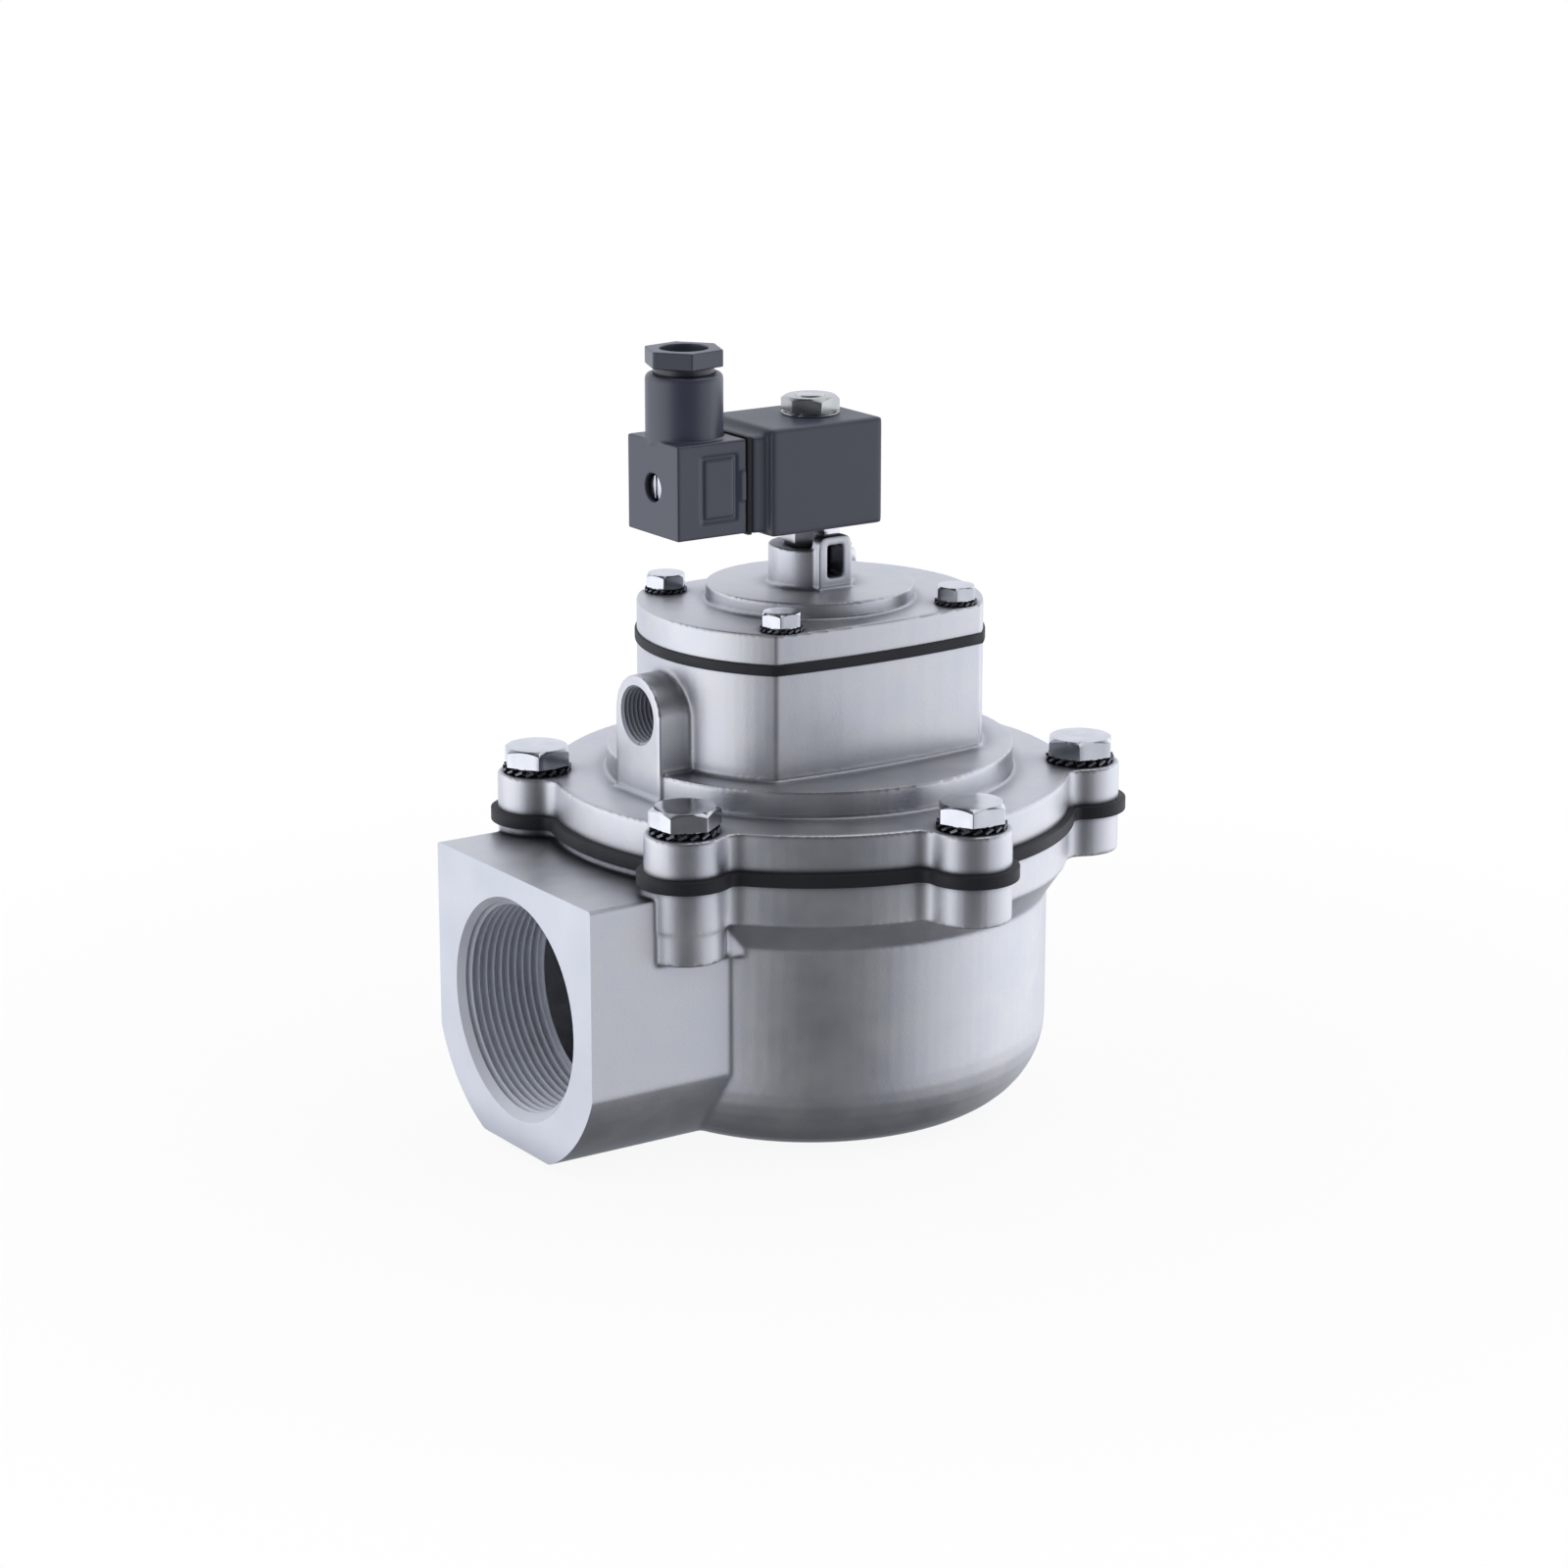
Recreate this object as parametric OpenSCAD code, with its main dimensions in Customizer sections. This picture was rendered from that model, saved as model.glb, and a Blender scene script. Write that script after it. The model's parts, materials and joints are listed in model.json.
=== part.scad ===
// Right-angle diaphragm pulse valve with a solenoid pilot.
// Origin: centre of the outlet on the bottom face. +Z is up, the inlet port looks along -X.

/* [Cup and flange] */
// Outside radius of the cup
cup_r = 65.9; // [64:0.1:68]
// Radius of the rounding at the bottom of the cup
cup_fillet = 24; // [18:0.5:27]
// Thickness of the cup wall and floor
body_wall = 5; // [4:0.25:6]
// Height of the flange face that the main diaphragm is clamped on
body_top_z = 80.2; // [78:0.1:84]
// Thickness of the body flange
body_flange_t = 11.3; // [9:0.1:13]
// Height of the cone that leads from the cup to the flange
flange_cone_h = 8; // [4:0.5:12]
// Width of the small ledge between the flange and the cone and bosses under it
flange_lip = 0.3; // [0.1:0.1:1]
// Radius of both flanges between the ears
flange_r = 71.5; // [70.5:0.1:74]
// Radius of the ring of main bolts
bolt_ring_r = 75.2; // [74.5:0.1:77]
// Number of main bolts
bolt_n = 6; // [6:6:6]
// Radius of each bolt ear
ear_r = 10.9; // [10:0.1:12]
// Radius of the rounding between an ear and the flange
ear_fillet = 5; // [3:0.5:7]
// Length of the two long bosses beside the inlet, under the flange face
boss_h = 20.2; // [18:0.1:26]

/* [Inlet port] */
// Distance from the valve axis to the port face
port_reach = 95.7; // [93:0.1:104]
// Height of the port axis
port_z = 40.4; // [39:0.1:42]
// Half of the port block's width
port_half_w = 39.75; // [38:0.05:42]
// Height of the port block's top
port_top_z = 77.8; // [75:0.1:78]
// Radius of the round lower half of the block, about the port axis
port_round_r = 42.4; // [41:0.1:44]
// Height of the block's foot above the bottom face
port_foot_z = 1.6; // [0.5:0.1:3]
// Minor radius of the pipe thread in the inlet and the outlet
pipe_r = 28.33; // [28.33:0.01:28.33]
// Depth of the pipe threads
pipe_thread_l = 24; // [20:0.5:26]
// Width of the chamfer at the mouth of a pipe thread
pipe_chamfer = 2.4; // [1:0.1:3]
// Radius of the passage behind the inlet thread
passage_r = 27; // [25:0.25:28]
// Side, depth and height of the small lug beside each long boss
lug_size = [4.4, 3.3, 9]; // [1:0.1:12]
// Height of the foot of the lug
lug_z = 58.7; // [56:0.1:60]

/* [Nozzle] */
// Inside radius of the nozzle
nozzle_r = 25.5; // [24:0.25:27]
// Outside radius of the nozzle at the seat
nozzle_out_r = 30.5; // [29.5:0.25:32]
// Outside radius of the nozzle around the outlet thread
nozzle_foot_r = 34; // [33:0.25:36]
// Depth of the main seat under the flange face
seat_depth = 10.2; // [9:0.1:12]
// Height of the thick foot of the nozzle above the thread's end
nozzle_shoulder = 2; // [1:0.5:4]
// Height of the cone from that foot to the nozzle
nozzle_cone_h = 6; // [4:0.5:9]

/* [Main diaphragm] */
// Thickness of the main diaphragm's clamped rim
rim_t = 3.6; // [3:0.1:4]
// How far the rim sticks out past the ears and flanges
rim_proud = 2; // [0.5:0.1:3]
// Thickness of the membrane inside the rim
web_t = 2.4; // [2:0.1:3]
// Radius of the flat middle of the main diaphragm
web_flat_r = 43; // [41:0.5:44]
// Radius where the membrane meets the rim
web_rim_r = 55; // [54:0.5:58]
// Thickness of the seat seal
seal_t = 3; // [2:0.1:3.5]
// Radius of the seat seal
seal_r = 34; // [32:0.5:36]
// Radius of the guide disc inside the nozzle
guide_r = 22; // [18:0.5:24]
// Thickness of the guide disc
guide_t = 3.5; // [3:0.1:5]
// Radius of the plate above the membrane
plate_r = 40; // [38:0.5:42]
// Thickness of the plate above the membrane
plate_t = 2.6; // [2:0.1:3]
// Radius of the centre screw
stem_r = 4; // [3:0.1:5]
// Width across flats of the centre screw's head and nut
stem_flats = 13; // [11:0.1:14]
// Height of the centre screw's head
stem_head_h = 5.3; // [4:0.1:6]
// Height of the centre nut
stem_nut_h = 6.5; // [5:0.1:7]
// How far the centre screw stands out of its nut
stem_proud = 1; // [0.5:0.1:2]
// Lift of the main diaphragm
main_lift = 12; // [10:0.5:13]
// Room left above the centre screw when the diaphragm is lifted
main_room = 5.5; // [3:0.25:6]

/* [Main cover] */
// Thickness of the cover flange
cover_flange_t = 10.2; // [9:0.1:12]
// Radius of the step on the cover
step_r = 56; // [55:0.25:58]
// Height of the step above the flange
step_t = 7.5; // [6:0.1:9]
// Height of the upper block above the step
block_h = 29; // [28:0.1:34]
// Radius of the upper block at its round ends
block_r = 47.4; // [46.5:0.1:49]
// Distance from the valve axis to the middle of the block's flat sides
block_half_w = 35.8; // [35.5:0.1:37]
// Radius of the slow curve of the flat sides
block_side_r = 245; // [200:5:300]
// Thickness of the wall around the chamber above the main diaphragm
chamber_wall = 4; // [3:0.25:6]
// Height of that chamber above the diaphragm rim
chamber_h = 13.2; // [12:0.1:14]
// Radius of the recess for the main spring
recess_r = 30; // [26:0.5:31]
// Inside radius of the pilot seat tube
pilot_r = 8.5; // [8:0.1:9]
// Outside radius of the pilot seat tube
pilot_out_r = 12.5; // [12:0.1:13.5]
// Depth of the pilot seat under the top of the block
pilot_seat_d = 5.5; // [5:0.1:6]
// Radius of the exhaust ring chamber around the pilot seat tube
ring_r = 27; // [26:0.25:28]
// Depth of the exhaust ring chamber
ring_h = 22.5; // [20:0.5:23]
// Height of the exhaust hole's axis above the cover flange
exhaust_z = 22; // [21:0.1:23]
// Minor radius of the exhaust thread
exhaust_r = 7.475; // [7.475:0.001:7.475]
// Width of the chamfer at the mouth of the exhaust thread
exhaust_chamfer = 0.8; // [0.4:0.1:1]
// Depth of the exhaust thread
exhaust_thread_l = 12; // [10:0.5:14]
// Radius of the passage behind the exhaust thread
exhaust_passage_r = 7; // [6:0.1:7.2]
// Outside radius of the exhaust boss
exhaust_boss_r = 11; // [10.5:0.1:12]

/* [Pilot diaphragm] */
// Thickness of the pilot diaphragm's clamped rim
pilot_rim_t = 3; // [2.5:0.1:3.5]
// How far the pilot diaphragm's rim sticks out
pilot_rim_proud = 0.6; // [0.2:0.1:1.5]
// Thickness of the pilot membrane
pilot_web_t = 2; // [1.5:0.1:2.2]
// Radius of the flat middle of the pilot membrane
pilot_flat_r = 18; // [17:0.25:19]
// Radius where the pilot membrane meets its rim
pilot_rim_r = 26; // [25:0.25:26.5]
// Radius of the plate above the pilot membrane
pilot_plate_r = 16; // [15:0.25:17]
// Thickness of the plate above the pilot membrane
pilot_plate_t = 1.5; // [1:0.1:2]
// Radius of the disc under the pilot membrane
pilot_disc_r = 7; // [6:0.1:7.5]
// Radius of the rivet through the pilot membrane
rivet_r = 2; // [1.5:0.1:2.5]
// Radius of the rivet's heads
rivet_head_r = 4; // [3:0.1:4.5]
// Thickness of the rivet's heads
rivet_head_h = 1.5; // [1:0.1:1.8]
// Lift of the pilot diaphragm
pilot_lift = 4; // [3:0.25:4.5]
// Room left above the rivet when the pilot diaphragm is lifted
pilot_room = 7; // [5.5:0.25:7.5]

/* [Top cover] */
// Thickness of the top cover's plate
top_plate_t = 8; // [7:0.1:10]
// Radius of the raised disc on the top cover
disc_r = 28.5; // [28:0.1:30]
// Height of the raised disc
disc_t = 4.5; // [3.5:0.1:6]
// Radius of the chamber above the pilot diaphragm
top_chamber_r = 26; // [25:0.25:27]
// Outside radius of the tower under the coil
tower_r = 11.4; // [11:0.1:12.5]
// Height of the tower
tower_h = 10.7; // [10:0.1:13]
// Radius of the tapped bore of the tower
tower_bore_r = 6.05; // [6:0.05:6.5]
// Thickness of the floor under the tower bore, above the raised disc
tower_floor = 1; // [0.5:0.1:2]
// Width of the vent slot in the tower
vent_w = 5.2; // [4.5:0.1:6]
// Height of the vent slot's foot above the raised disc
vent_foot = 3.2; // [2:0.1:5]
// Height of the vent slot
vent_h = 8.8; // [6:0.1:9.4]
// Width of the pad around the vent slot
vent_pad_w = 10.8; // [9:0.1:12]
// Height of the pad above the raised disc
vent_pad_h = 14.6; // [14:0.1:15]
// How far the pad stands proud of the tower
vent_pad_proud = 0.9; // [0.4:0.1:1.5]
// Thickness of the pad above the tower's rim
vent_pad_t = 3.8; // [3:0.1:4]
// Radius of the small bolts' ring
small_ring_r = 40.3; // [39.5:0.1:41]

/* [Fasteners] */
// Radius of the main bolts' shanks
bolt_r = 5; // [5:0.1:5]
// Length of the main bolts under the head
bolt_l = 25; // [20:5:25]
// Width across flats of the main bolts' heads
bolt_flats = 17; // [16:0.1:17]
// Height of the main bolts' heads
bolt_head_h = 5.3; // [5:0.1:6.4]
// Thickness of the main lock washers over their teeth
bolt_washer_t = 1.7; // [1:0.1:2]
// Outside radius of the main lock washers
bolt_washer_r = 9.4; // [9:0.1:10.5]
// Radius of the small bolts' shanks
small_r = 3; // [3:0.1:3]
// Length of the small bolts under the head
small_l = 20; // [16:1:25]
// Width across flats of the small bolts' heads
small_flats = 10; // [9:0.1:10]
// Height of the small bolts' heads
small_head_h = 3.9; // [3.5:0.1:4]
// Thickness of the small lock washers over their teeth
small_washer_t = 1.2; // [0.8:0.1:1.6]
// Outside radius of the small lock washers
small_washer_r = 5.8; // [5.5:0.1:6]

/* [Core tube and plunger] */
// Outside radius of the core tube
tube_r = 5; // [4.8:0.05:5.2]
// Inside radius of the core tube
tube_bore_r = 4.1; // [4:0.05:4.2]
// Width across flats of the core tube's hexagon
tube_flats = 14; // [12:0.1:14]
// Height of the core tube's hexagon
tube_hex_h = 5.3; // [4:0.1:6]
// Length of the threaded shank under the hexagon
tube_shank_l = 4.7; // [4:0.1:5]
// Thickness of the ring seal under the hexagon
tube_seal_t = 0.9; // [0.6:0.1:1.2]
// Length of the plunger
plunger_l = 26; // [24:0.5:27]
// Lift of the plunger
plunger_lift = 1.8; // [1.5:0.1:1.8]
// Air gap left between the lifted plunger and the fixed core
plunger_air = 0.2; // [0.1:0.05:0.4]
// Height of the pilot orifice's lip above the tower floor
orifice_lip = 2.5; // [2:0.1:3]
// Outside radius of the pilot orifice insert
orifice_out_r = 3; // [2.5:0.1:3.5]
// Radius of the pilot orifice
orifice_r = 1.2; // [0.8:0.1:1.5]
// Radius of the plunger's seal
plunger_seal_r = 2.6; // [2.2:0.1:2.8]
// Thickness of the plunger's seal
plunger_seal_t = 2; // [1.5:0.1:2.5]
// How far the seal stands out of the plunger
plunger_seal_proud = 0.5; // [0.3:0.1:0.8]
// Radius of the stud on top of the core tube
stud_r = 4; // [4:0.1:4]
// How far the stud stands out of the coil nut
stud_proud = 0.3; // [0:0.1:2]
// Width across flats of the coil nut
coil_nut_flats = 14; // [13:0.1:14]
// Height of the coil nut
coil_nut_h = 4.4; // [4:0.1:5]
// Outside radius of the washer under the coil nut
coil_washer_r = 7.9; // [7.5:0.1:8.5]
// Thickness of the washer under the coil nut
coil_washer_t = 0.6; // [0.4:0.1:1]

/* [Coil] */
// Distance from the tube axis to the coil's plain end
coil_front = 13.3; // [13:0.1:15]
// Distance from the tube axis to the coil's terminal end
coil_back = 22.7; // [21:0.1:25]
// Half of the coil housing's width
coil_half_w = 15.4; // [14.5:0.1:17]
// Height of the coil housing
coil_h = 29.1; // [28:0.1:32]
// Gap between the core tube's hexagon and the coil
coil_gap = 0.3; // [0.2:0.1:0.8]
// Thickness of the steel frame inside the coil
yoke_t = 2; // [1.5:0.1:2.5]
// Depth of the steel frame under the housing's surface
yoke_cover = 1.4; // [1:0.1:2]
// Length of the steel frame behind the bobbin's flange
yoke_margin = 1; // [0.5:0.1:2]
// Thickness of the bobbin's tube
bobbin_t = 1; // [0.8:0.1:1.2]
// Thickness of the bobbin's flanges
bobbin_flange_t = 1.2; // [1:0.1:1.6]
// Clearance between the bobbin's flanges and the steel frame
bobbin_gap = 0.2; // [0.1:0.05:0.4]
// How far the winding stays inside the bobbin's flanges
winding_inset = 0.6; // [0.3:0.1:1]
// Length of the block that carries the terminals
base_l = 4.8; // [4:0.1:6]
// Length of the terminal blades inside the coil
blade_root = 4; // [3:0.5:6]
// Thickness of the terminal blades
blade_t = 0.8; // [0.6:0.1:1]
// Width of the terminal blades
blade_w = 4.8; // [4:0.1:6]
// Length of the terminal blades outside their block
blade_l = 9; // [7:0.5:10]
// Distance of each live blade from the middle
blade_y = 5.5; // [5:0.1:6]
// Height of the live blades above the middle
blade_z = 1.5; // [0:0.1:2]
// Distance of the earth blade under the middle
blade_earth_z = 7.5; // [7:0.1:8]

/* [Connector] */
// Thickness of the flat gasket
flat_gasket_t = 1.2; // [0.8:0.1:1.5]
// How far the flat gasket stands proud of the plug
flat_gasket_proud = 0.4; // [0:0.1:0.8]
// How far the plug's middle lies under the coil's middle
plug_drop = 0.3; // [0:0.1:1]
// Length of the plug housing
plug_l = 21.8; // [20:0.1:24]
// Half of the plug housing's width
plug_half_w = 12.4; // [12:0.1:13]
// Height of the plug housing
plug_h = 25.5; // [25:0.1:26]
// Thickness of the plug housing's walls
plug_wall = 2.4; // [1.8:0.1:2.8]
// Distance from the plug's end face to the gland axis
gland_back = 10.1; // [9:0.1:11]
// Outside radius of the gland tower
gland_r = 10.4; // [10:0.1:10.8]
// Height of the gland tower above the plug
gland_h = 17.2; // [15:0.1:20]
// Radius of the gland tower's inside
gland_bore_r = 8.2; // [8:0.05:8.4]
// Radius of the gland nut's neck
gland_neck_r = 8.1; // [8:0.05:8.2]
// Height of the neck between the tower and the nut's head
gland_neck_h = 1.9; // [1:0.1:3]
// Height of the gland nut's head
gland_nut_h = 4.6; // [4:0.1:6]
// Width across flats of the gland nut's head
gland_flats = 19; // [18:0.1:20]
// Radius of the hole through the gland nut
gland_hole_r = 6.5; // [6:0.1:6.8]
// Length of the gland seal
gland_seal_l = 6; // [4:0.5:8]
// Radius of the hole through the gland seal
gland_seal_r = 4; // [3:0.1:5]
// Radius of the hole through the gland washer
gland_washer_r = 5.5; // [4.5:0.1:6.3]
// Thickness of the gland washer
gland_washer_t = 1; // [0.6:0.1:1.4]
// Radius of the plug screw
plug_screw_r = 1.5; // [1.5:0.1:1.5]
// Length of the plug screw inside the coil's terminal block
plug_screw_grip = 5; // [4:0.5:7]
// Radius of the plug screw's head
plug_screw_head_r = 3.2; // [2.8:0.1:3.4]
// Height of the plug screw's head
plug_screw_head_h = 2.2; // [1.6:0.1:2.6]
// Width of the slot in the plug screw's head
plug_screw_slot = 0.8; // [0.6:0.1:1]
// Radius of the sunk hole for the plug screw's head
plug_sink_r = 3.8; // [3.6:0.1:4.2]
// Depth of the sunk hole for the plug screw's head
plug_sink_d = 3.4; // [2.8:0.1:4]
// Radius of the rounding on top of the gland tower
gland_shoulder = 1.4; // [0.5:0.1:1.8]
// Length and height of the framed panel on each side of the plug
panel_size = [11.5, 18]; // [10:0.1:20]
// Distance of the panel from the plug's mouth, and its foot above the plug's floor
panel_place = [3, 4]; // [2:0.1:5]
// Width of the groove that frames the panel
panel_groove_w = 1.2; // [0.8:0.1:1.6]
// Depth of the groove that frames the panel
panel_groove_d = 0.5; // [0.3:0.1:0.8]
// Room left above the plug's insert for the wires
insert_headroom = 3; // [2:0.1:4]

/* [Springs] */
// Wire diameter of the main spring
main_wire = 1.8; // [1.4:0.1:2]
// Mean radius of the main spring
main_spring_r = 20; // [15:0.5:22]
// Turns of the main spring
main_turns = 4; // [3:0.5:4]
// Wire diameter of the pilot spring
pilot_wire = 0.9; // [0.7:0.05:1.1]
// Mean radius of the pilot spring
pilot_spring_r = 9; // [8:0.25:11]
// Turns of the pilot spring
pilot_turns = 5; // [4:0.5:6]
// Wire diameter of the plunger spring
plunger_wire = 0.5; // [0.4:0.05:0.6]
// Mean radius of the plunger spring
plunger_spring_r = 1.7; // [1.5:0.05:1.8]
// Turns of the plunger spring
plunger_turns = 7; // [6:1:9]
// Depth of the spring pocket in the plunger
plunger_pocket = 8; // [7:0.5:10]

/* [Hidden] */
$fn = 96;
// Overlap that keeps a cut clear of the face it starts from
eps = 1;
// Clearance between a screw and the tapped hole it sits in
tap_gap = 0.05;
// Clearance between a bolt and the plain hole it passes
bolt_gap = 0.5;
// Clearance between a small bolt and the plain hole it passes
small_gap = 0.3;
// Clearance between a washer and its bolt
washer_gap = 0.2;
// Room left under the end of a bolt in its blind hole
blind_gap = 0.4;
// Clearance of a shaft that turns in its bore
turn_gap = 0.05;
// Clearance of a part that slides in its bore
slide_gap = 0.1;
// Clearance left under a spring's end
spring_gap = 0.05;
// Clearance of an insert in its cavity
insert_gap = 0.2;
// Radius of the flat top of a hexagon head, as a share of half its width across flats
head_crown = 0.96;
// Angle of the chamfer on a hexagon head
head_chamfer = 30;
// Straight steps in a quarter of a rounded profile
arc_steps = 10;
// Facets of the large rounds
large_fn = 240;
// Turns of the hexagons on their own axes
bolt_turn = 12;
small_turn = 8;
tube_turn = 24;
coil_nut_turn = 18;
gland_turn = 9;
// Notches in the rim of each lock washer
bolt_notches = 16;
small_notches = 12;
// Depth of a notch as a share of the washer's width, and its width as a share of its depth
notch_depth = 0.3;
notch_width = 0.9;
// Part of a turn that lies flat at each end of a spring
spring_flat = 0.6;

// Angles of the main bolts and of the small bolts
bolt_angles = [for (i = [0:bolt_n - 1]) 360 / bolt_n * (i + 0.5)];
small_angles = [45, 135, 225, 315];
// Angles of the two bolts beside the inlet
boss_angles = [for (a = bolt_angles) if (abs(a - 180) < 45) a];

// Stack of the castings, from the bottom up
cover_z = body_top_z + rim_t;
seat_z = body_top_z - seat_depth;
flange_top_z = cover_z + cover_flange_t;
step_z = flange_top_z + step_t;
block_z = step_z + block_h;
top_z = block_z + pilot_rim_t;
plate_z = top_z + top_plate_t;
disc_z = plate_z + disc_t;
tower_z = disc_z + tower_h;
floor_z = disc_z + tower_floor;
chamber_z = cover_z + chamber_h;
chamber_r = step_r - chamber_wall;
// Foot of the ring chamber around the pilot seat tube
ring_z = block_z - ring_h;
pilot_seat_z = block_z - pilot_seat_d;
exhaust_axis_z = flange_top_z + exhaust_z;

// Stack of the main diaphragm, from its seat up
web_z = seat_z + seal_t;
main_plate_z = web_z + web_t;
main_nut_z = main_plate_z + plate_t;
stem_top_z = main_nut_z + stem_nut_h + stem_proud;
recess_z = stem_top_z + main_lift + main_room;

// Stack of the pilot diaphragm, from its seat up
pilot_plate_z = pilot_seat_z + pilot_web_t;
pilot_top_z = pilot_plate_z + pilot_plate_t;
top_chamber_z = pilot_top_z + rivet_head_h + pilot_lift + pilot_room;

// Stack of the core tube and the coil
hex_z = tower_z + tube_seal_t;
coil_z = hex_z + tube_hex_h + coil_gap;
coil_top_z = coil_z + coil_h;
coil_washer_z = coil_top_z + turn_gap;
coil_nut_z = coil_washer_z + coil_washer_t;
coil_bore_r = tube_r + turn_gap;
plunger_z = floor_z + orifice_lip;
plunger_body_z = plunger_z + plunger_seal_proud;
plunger_r = tube_bore_r - slide_gap;
plunger_top_z = plunger_body_z + plunger_l;
core_z = plunger_top_z + plunger_lift + plunger_air;
yoke_z = coil_z + yoke_cover;
yoke_top_z = coil_top_z - yoke_cover;
yoke_front = coil_front - yoke_cover;
bobbin_r = yoke_front - yoke_t - bobbin_gap;
yoke_back = bobbin_r + yoke_margin;
bobbin_z = yoke_z + yoke_t;
bobbin_top_z = yoke_top_z - yoke_t;

// Places of the plug, seen from the tube axis along -X
base_x = coil_back + base_l;
plug_x = base_x + flat_gasket_t;
plug_end_x = plug_x + plug_l;
plug_mid_z = coil_z + coil_h / 2 - plug_drop;
plug_z = plug_mid_z - plug_h / 2;
plug_top_z = plug_z + plug_h;
gasket_half_w = plug_half_w + flat_gasket_proud;
gasket_z = plug_z - flat_gasket_proud;
gasket_h = plug_h + 2 * flat_gasket_proud;
gland_x = plug_end_x - gland_back;
gland_top_z = plug_top_z + gland_h;
gland_head_z = gland_top_z + gland_neck_h;
gland_seal_z = plug_top_z + plug_wall;

// A quarter circle of points, from one angle to another
function arc(cx, cy, r, from, to) =
    [for (i = [0:arc_steps]) let (a = from + (to - from) * i / arc_steps) [cx + r * cos(a), cy + r * sin(a)]];

// A round bar along +Z
module rod(r, z0, z1) {
    translate([0, 0, z0]) cylinder(r = r, h = z1 - z0);
}

// A washer or a sleeve along +Z
module ring(r_out, r_in, z0, z1) {
    translate([0, 0, z0]) rotate_extrude()
        translate([r_in, 0]) square([r_out - r_in, z1 - z0]);
}

// A bar of six sides, given its width across flats
module hexagon_bar(flats, z0, z1) {
    translate([0, 0, z0]) cylinder(r = flats / sqrt(3), h = z1 - z0, $fn = 6);
}

// A hexagon head with a chamfered top
module hexagon_head(flats, z0, z1) {
    corner = flats / sqrt(3);
    crown = flats / 2 * head_crown;
    drop = (corner + eps - crown) * tan(head_chamfer);
    intersection() {
        hexagon_bar(flats, z0, z1);
        translate([0, 0, z0]) rotate_extrude() polygon([[0, 0], [corner + eps, 0],
            [corner + eps, z1 - z0 - drop], [crown, z1 - z0], [0, z1 - z0]]);
    }
}

// Puts a copy of its children at each angle on a ring
module on_ring(r, angles) {
    for (a = angles) rotate(a) translate([r, 0]) children();
}

// A nozzle-like bore along +Z with a chamfer at its lower mouth
module mouth_bore(r, chamfer, depth) {
    translate([0, 0, -eps]) cylinder(r = r, h = depth + eps);
    translate([0, 0, -eps]) cylinder(r1 = r + chamfer + eps, r2 = r, h = chamfer + eps);
}

// The plan of a flange with its ears, widened all round by grow
module flange_plan(grow = 0) {
    disc = flange_r + grow;
    ear = ear_r + grow;
    fillet = ear_fillet - grow;
    reach = disc + fillet;
    span = ear + fillet;
    turn = acos((reach * reach + bolt_ring_r * bolt_ring_r - span * span) / (2 * reach * bolt_ring_r));
    circle(r = disc);
    for (a = bolt_angles) rotate(a) {
        translate([bolt_ring_r, 0]) circle(r = ear);
        for (side = [-1, 1]) difference() {
            polygon([[0, 0], [bolt_ring_r, 0], [reach * cos(turn), side * reach * sin(turn)]]);
            translate([reach * cos(turn), side * reach * sin(turn)]) circle(r = fillet);
        }
    }
}

// The plan of the upper block: a round with two nearly flat sides
module block_plan(grow = 0) {
    intersection() {
        circle(r = block_r + grow);
        flat_sides_plan(grow);
    }
}

module flat_sides_plan(grow) {
    intersection() {
        translate([0, block_half_w - block_side_r]) circle(r = block_side_r + grow, $fn = large_fn);
        translate([0, block_side_r - block_half_w]) circle(r = block_side_r + grow, $fn = large_fn);
    }
}

// The outline of the inlet block, seen along its axis: square above and round below, with a narrow flat foot
module port_plan() {
    intersection() {
        translate([-port_half_w, port_foot_z]) square([2 * port_half_w, port_top_z - port_foot_z]);
        union() {
            translate([0, port_z]) circle(r = port_round_r, $fn = large_fn);
            translate([-port_half_w, port_z]) square([2 * port_half_w, port_top_z - port_z]);
        }
    }
}

module cup_outside() {
    flange_foot = body_top_z - body_flange_t;
    rotate_extrude($fn = large_fn) polygon(concat([[0, 0]],
        arc(cup_r - cup_fillet, cup_fillet, cup_fillet, -90, 0),
        [[cup_r, flange_foot - flange_cone_h], [flange_r - flange_lip, flange_foot],
            [cup_r, body_top_z - eps], [0, body_top_z - eps]]));
}

module cup_inside() {
    inner_r = cup_r - body_wall;
    inner_fillet = cup_fillet - body_wall;
    shoulder_z = pipe_thread_l + nozzle_shoulder;
    rotate_extrude($fn = large_fn) polygon(concat(
        [[0, body_top_z + eps], [0, seat_z], [nozzle_out_r, seat_z],
            [nozzle_out_r, shoulder_z + nozzle_cone_h], [nozzle_foot_r, shoulder_z],
            [nozzle_foot_r, body_wall]],
        arc(inner_r - inner_fillet, body_wall + inner_fillet, inner_fillet, -90, 0),
        [[inner_r, body_top_z + eps]]));
}

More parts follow.
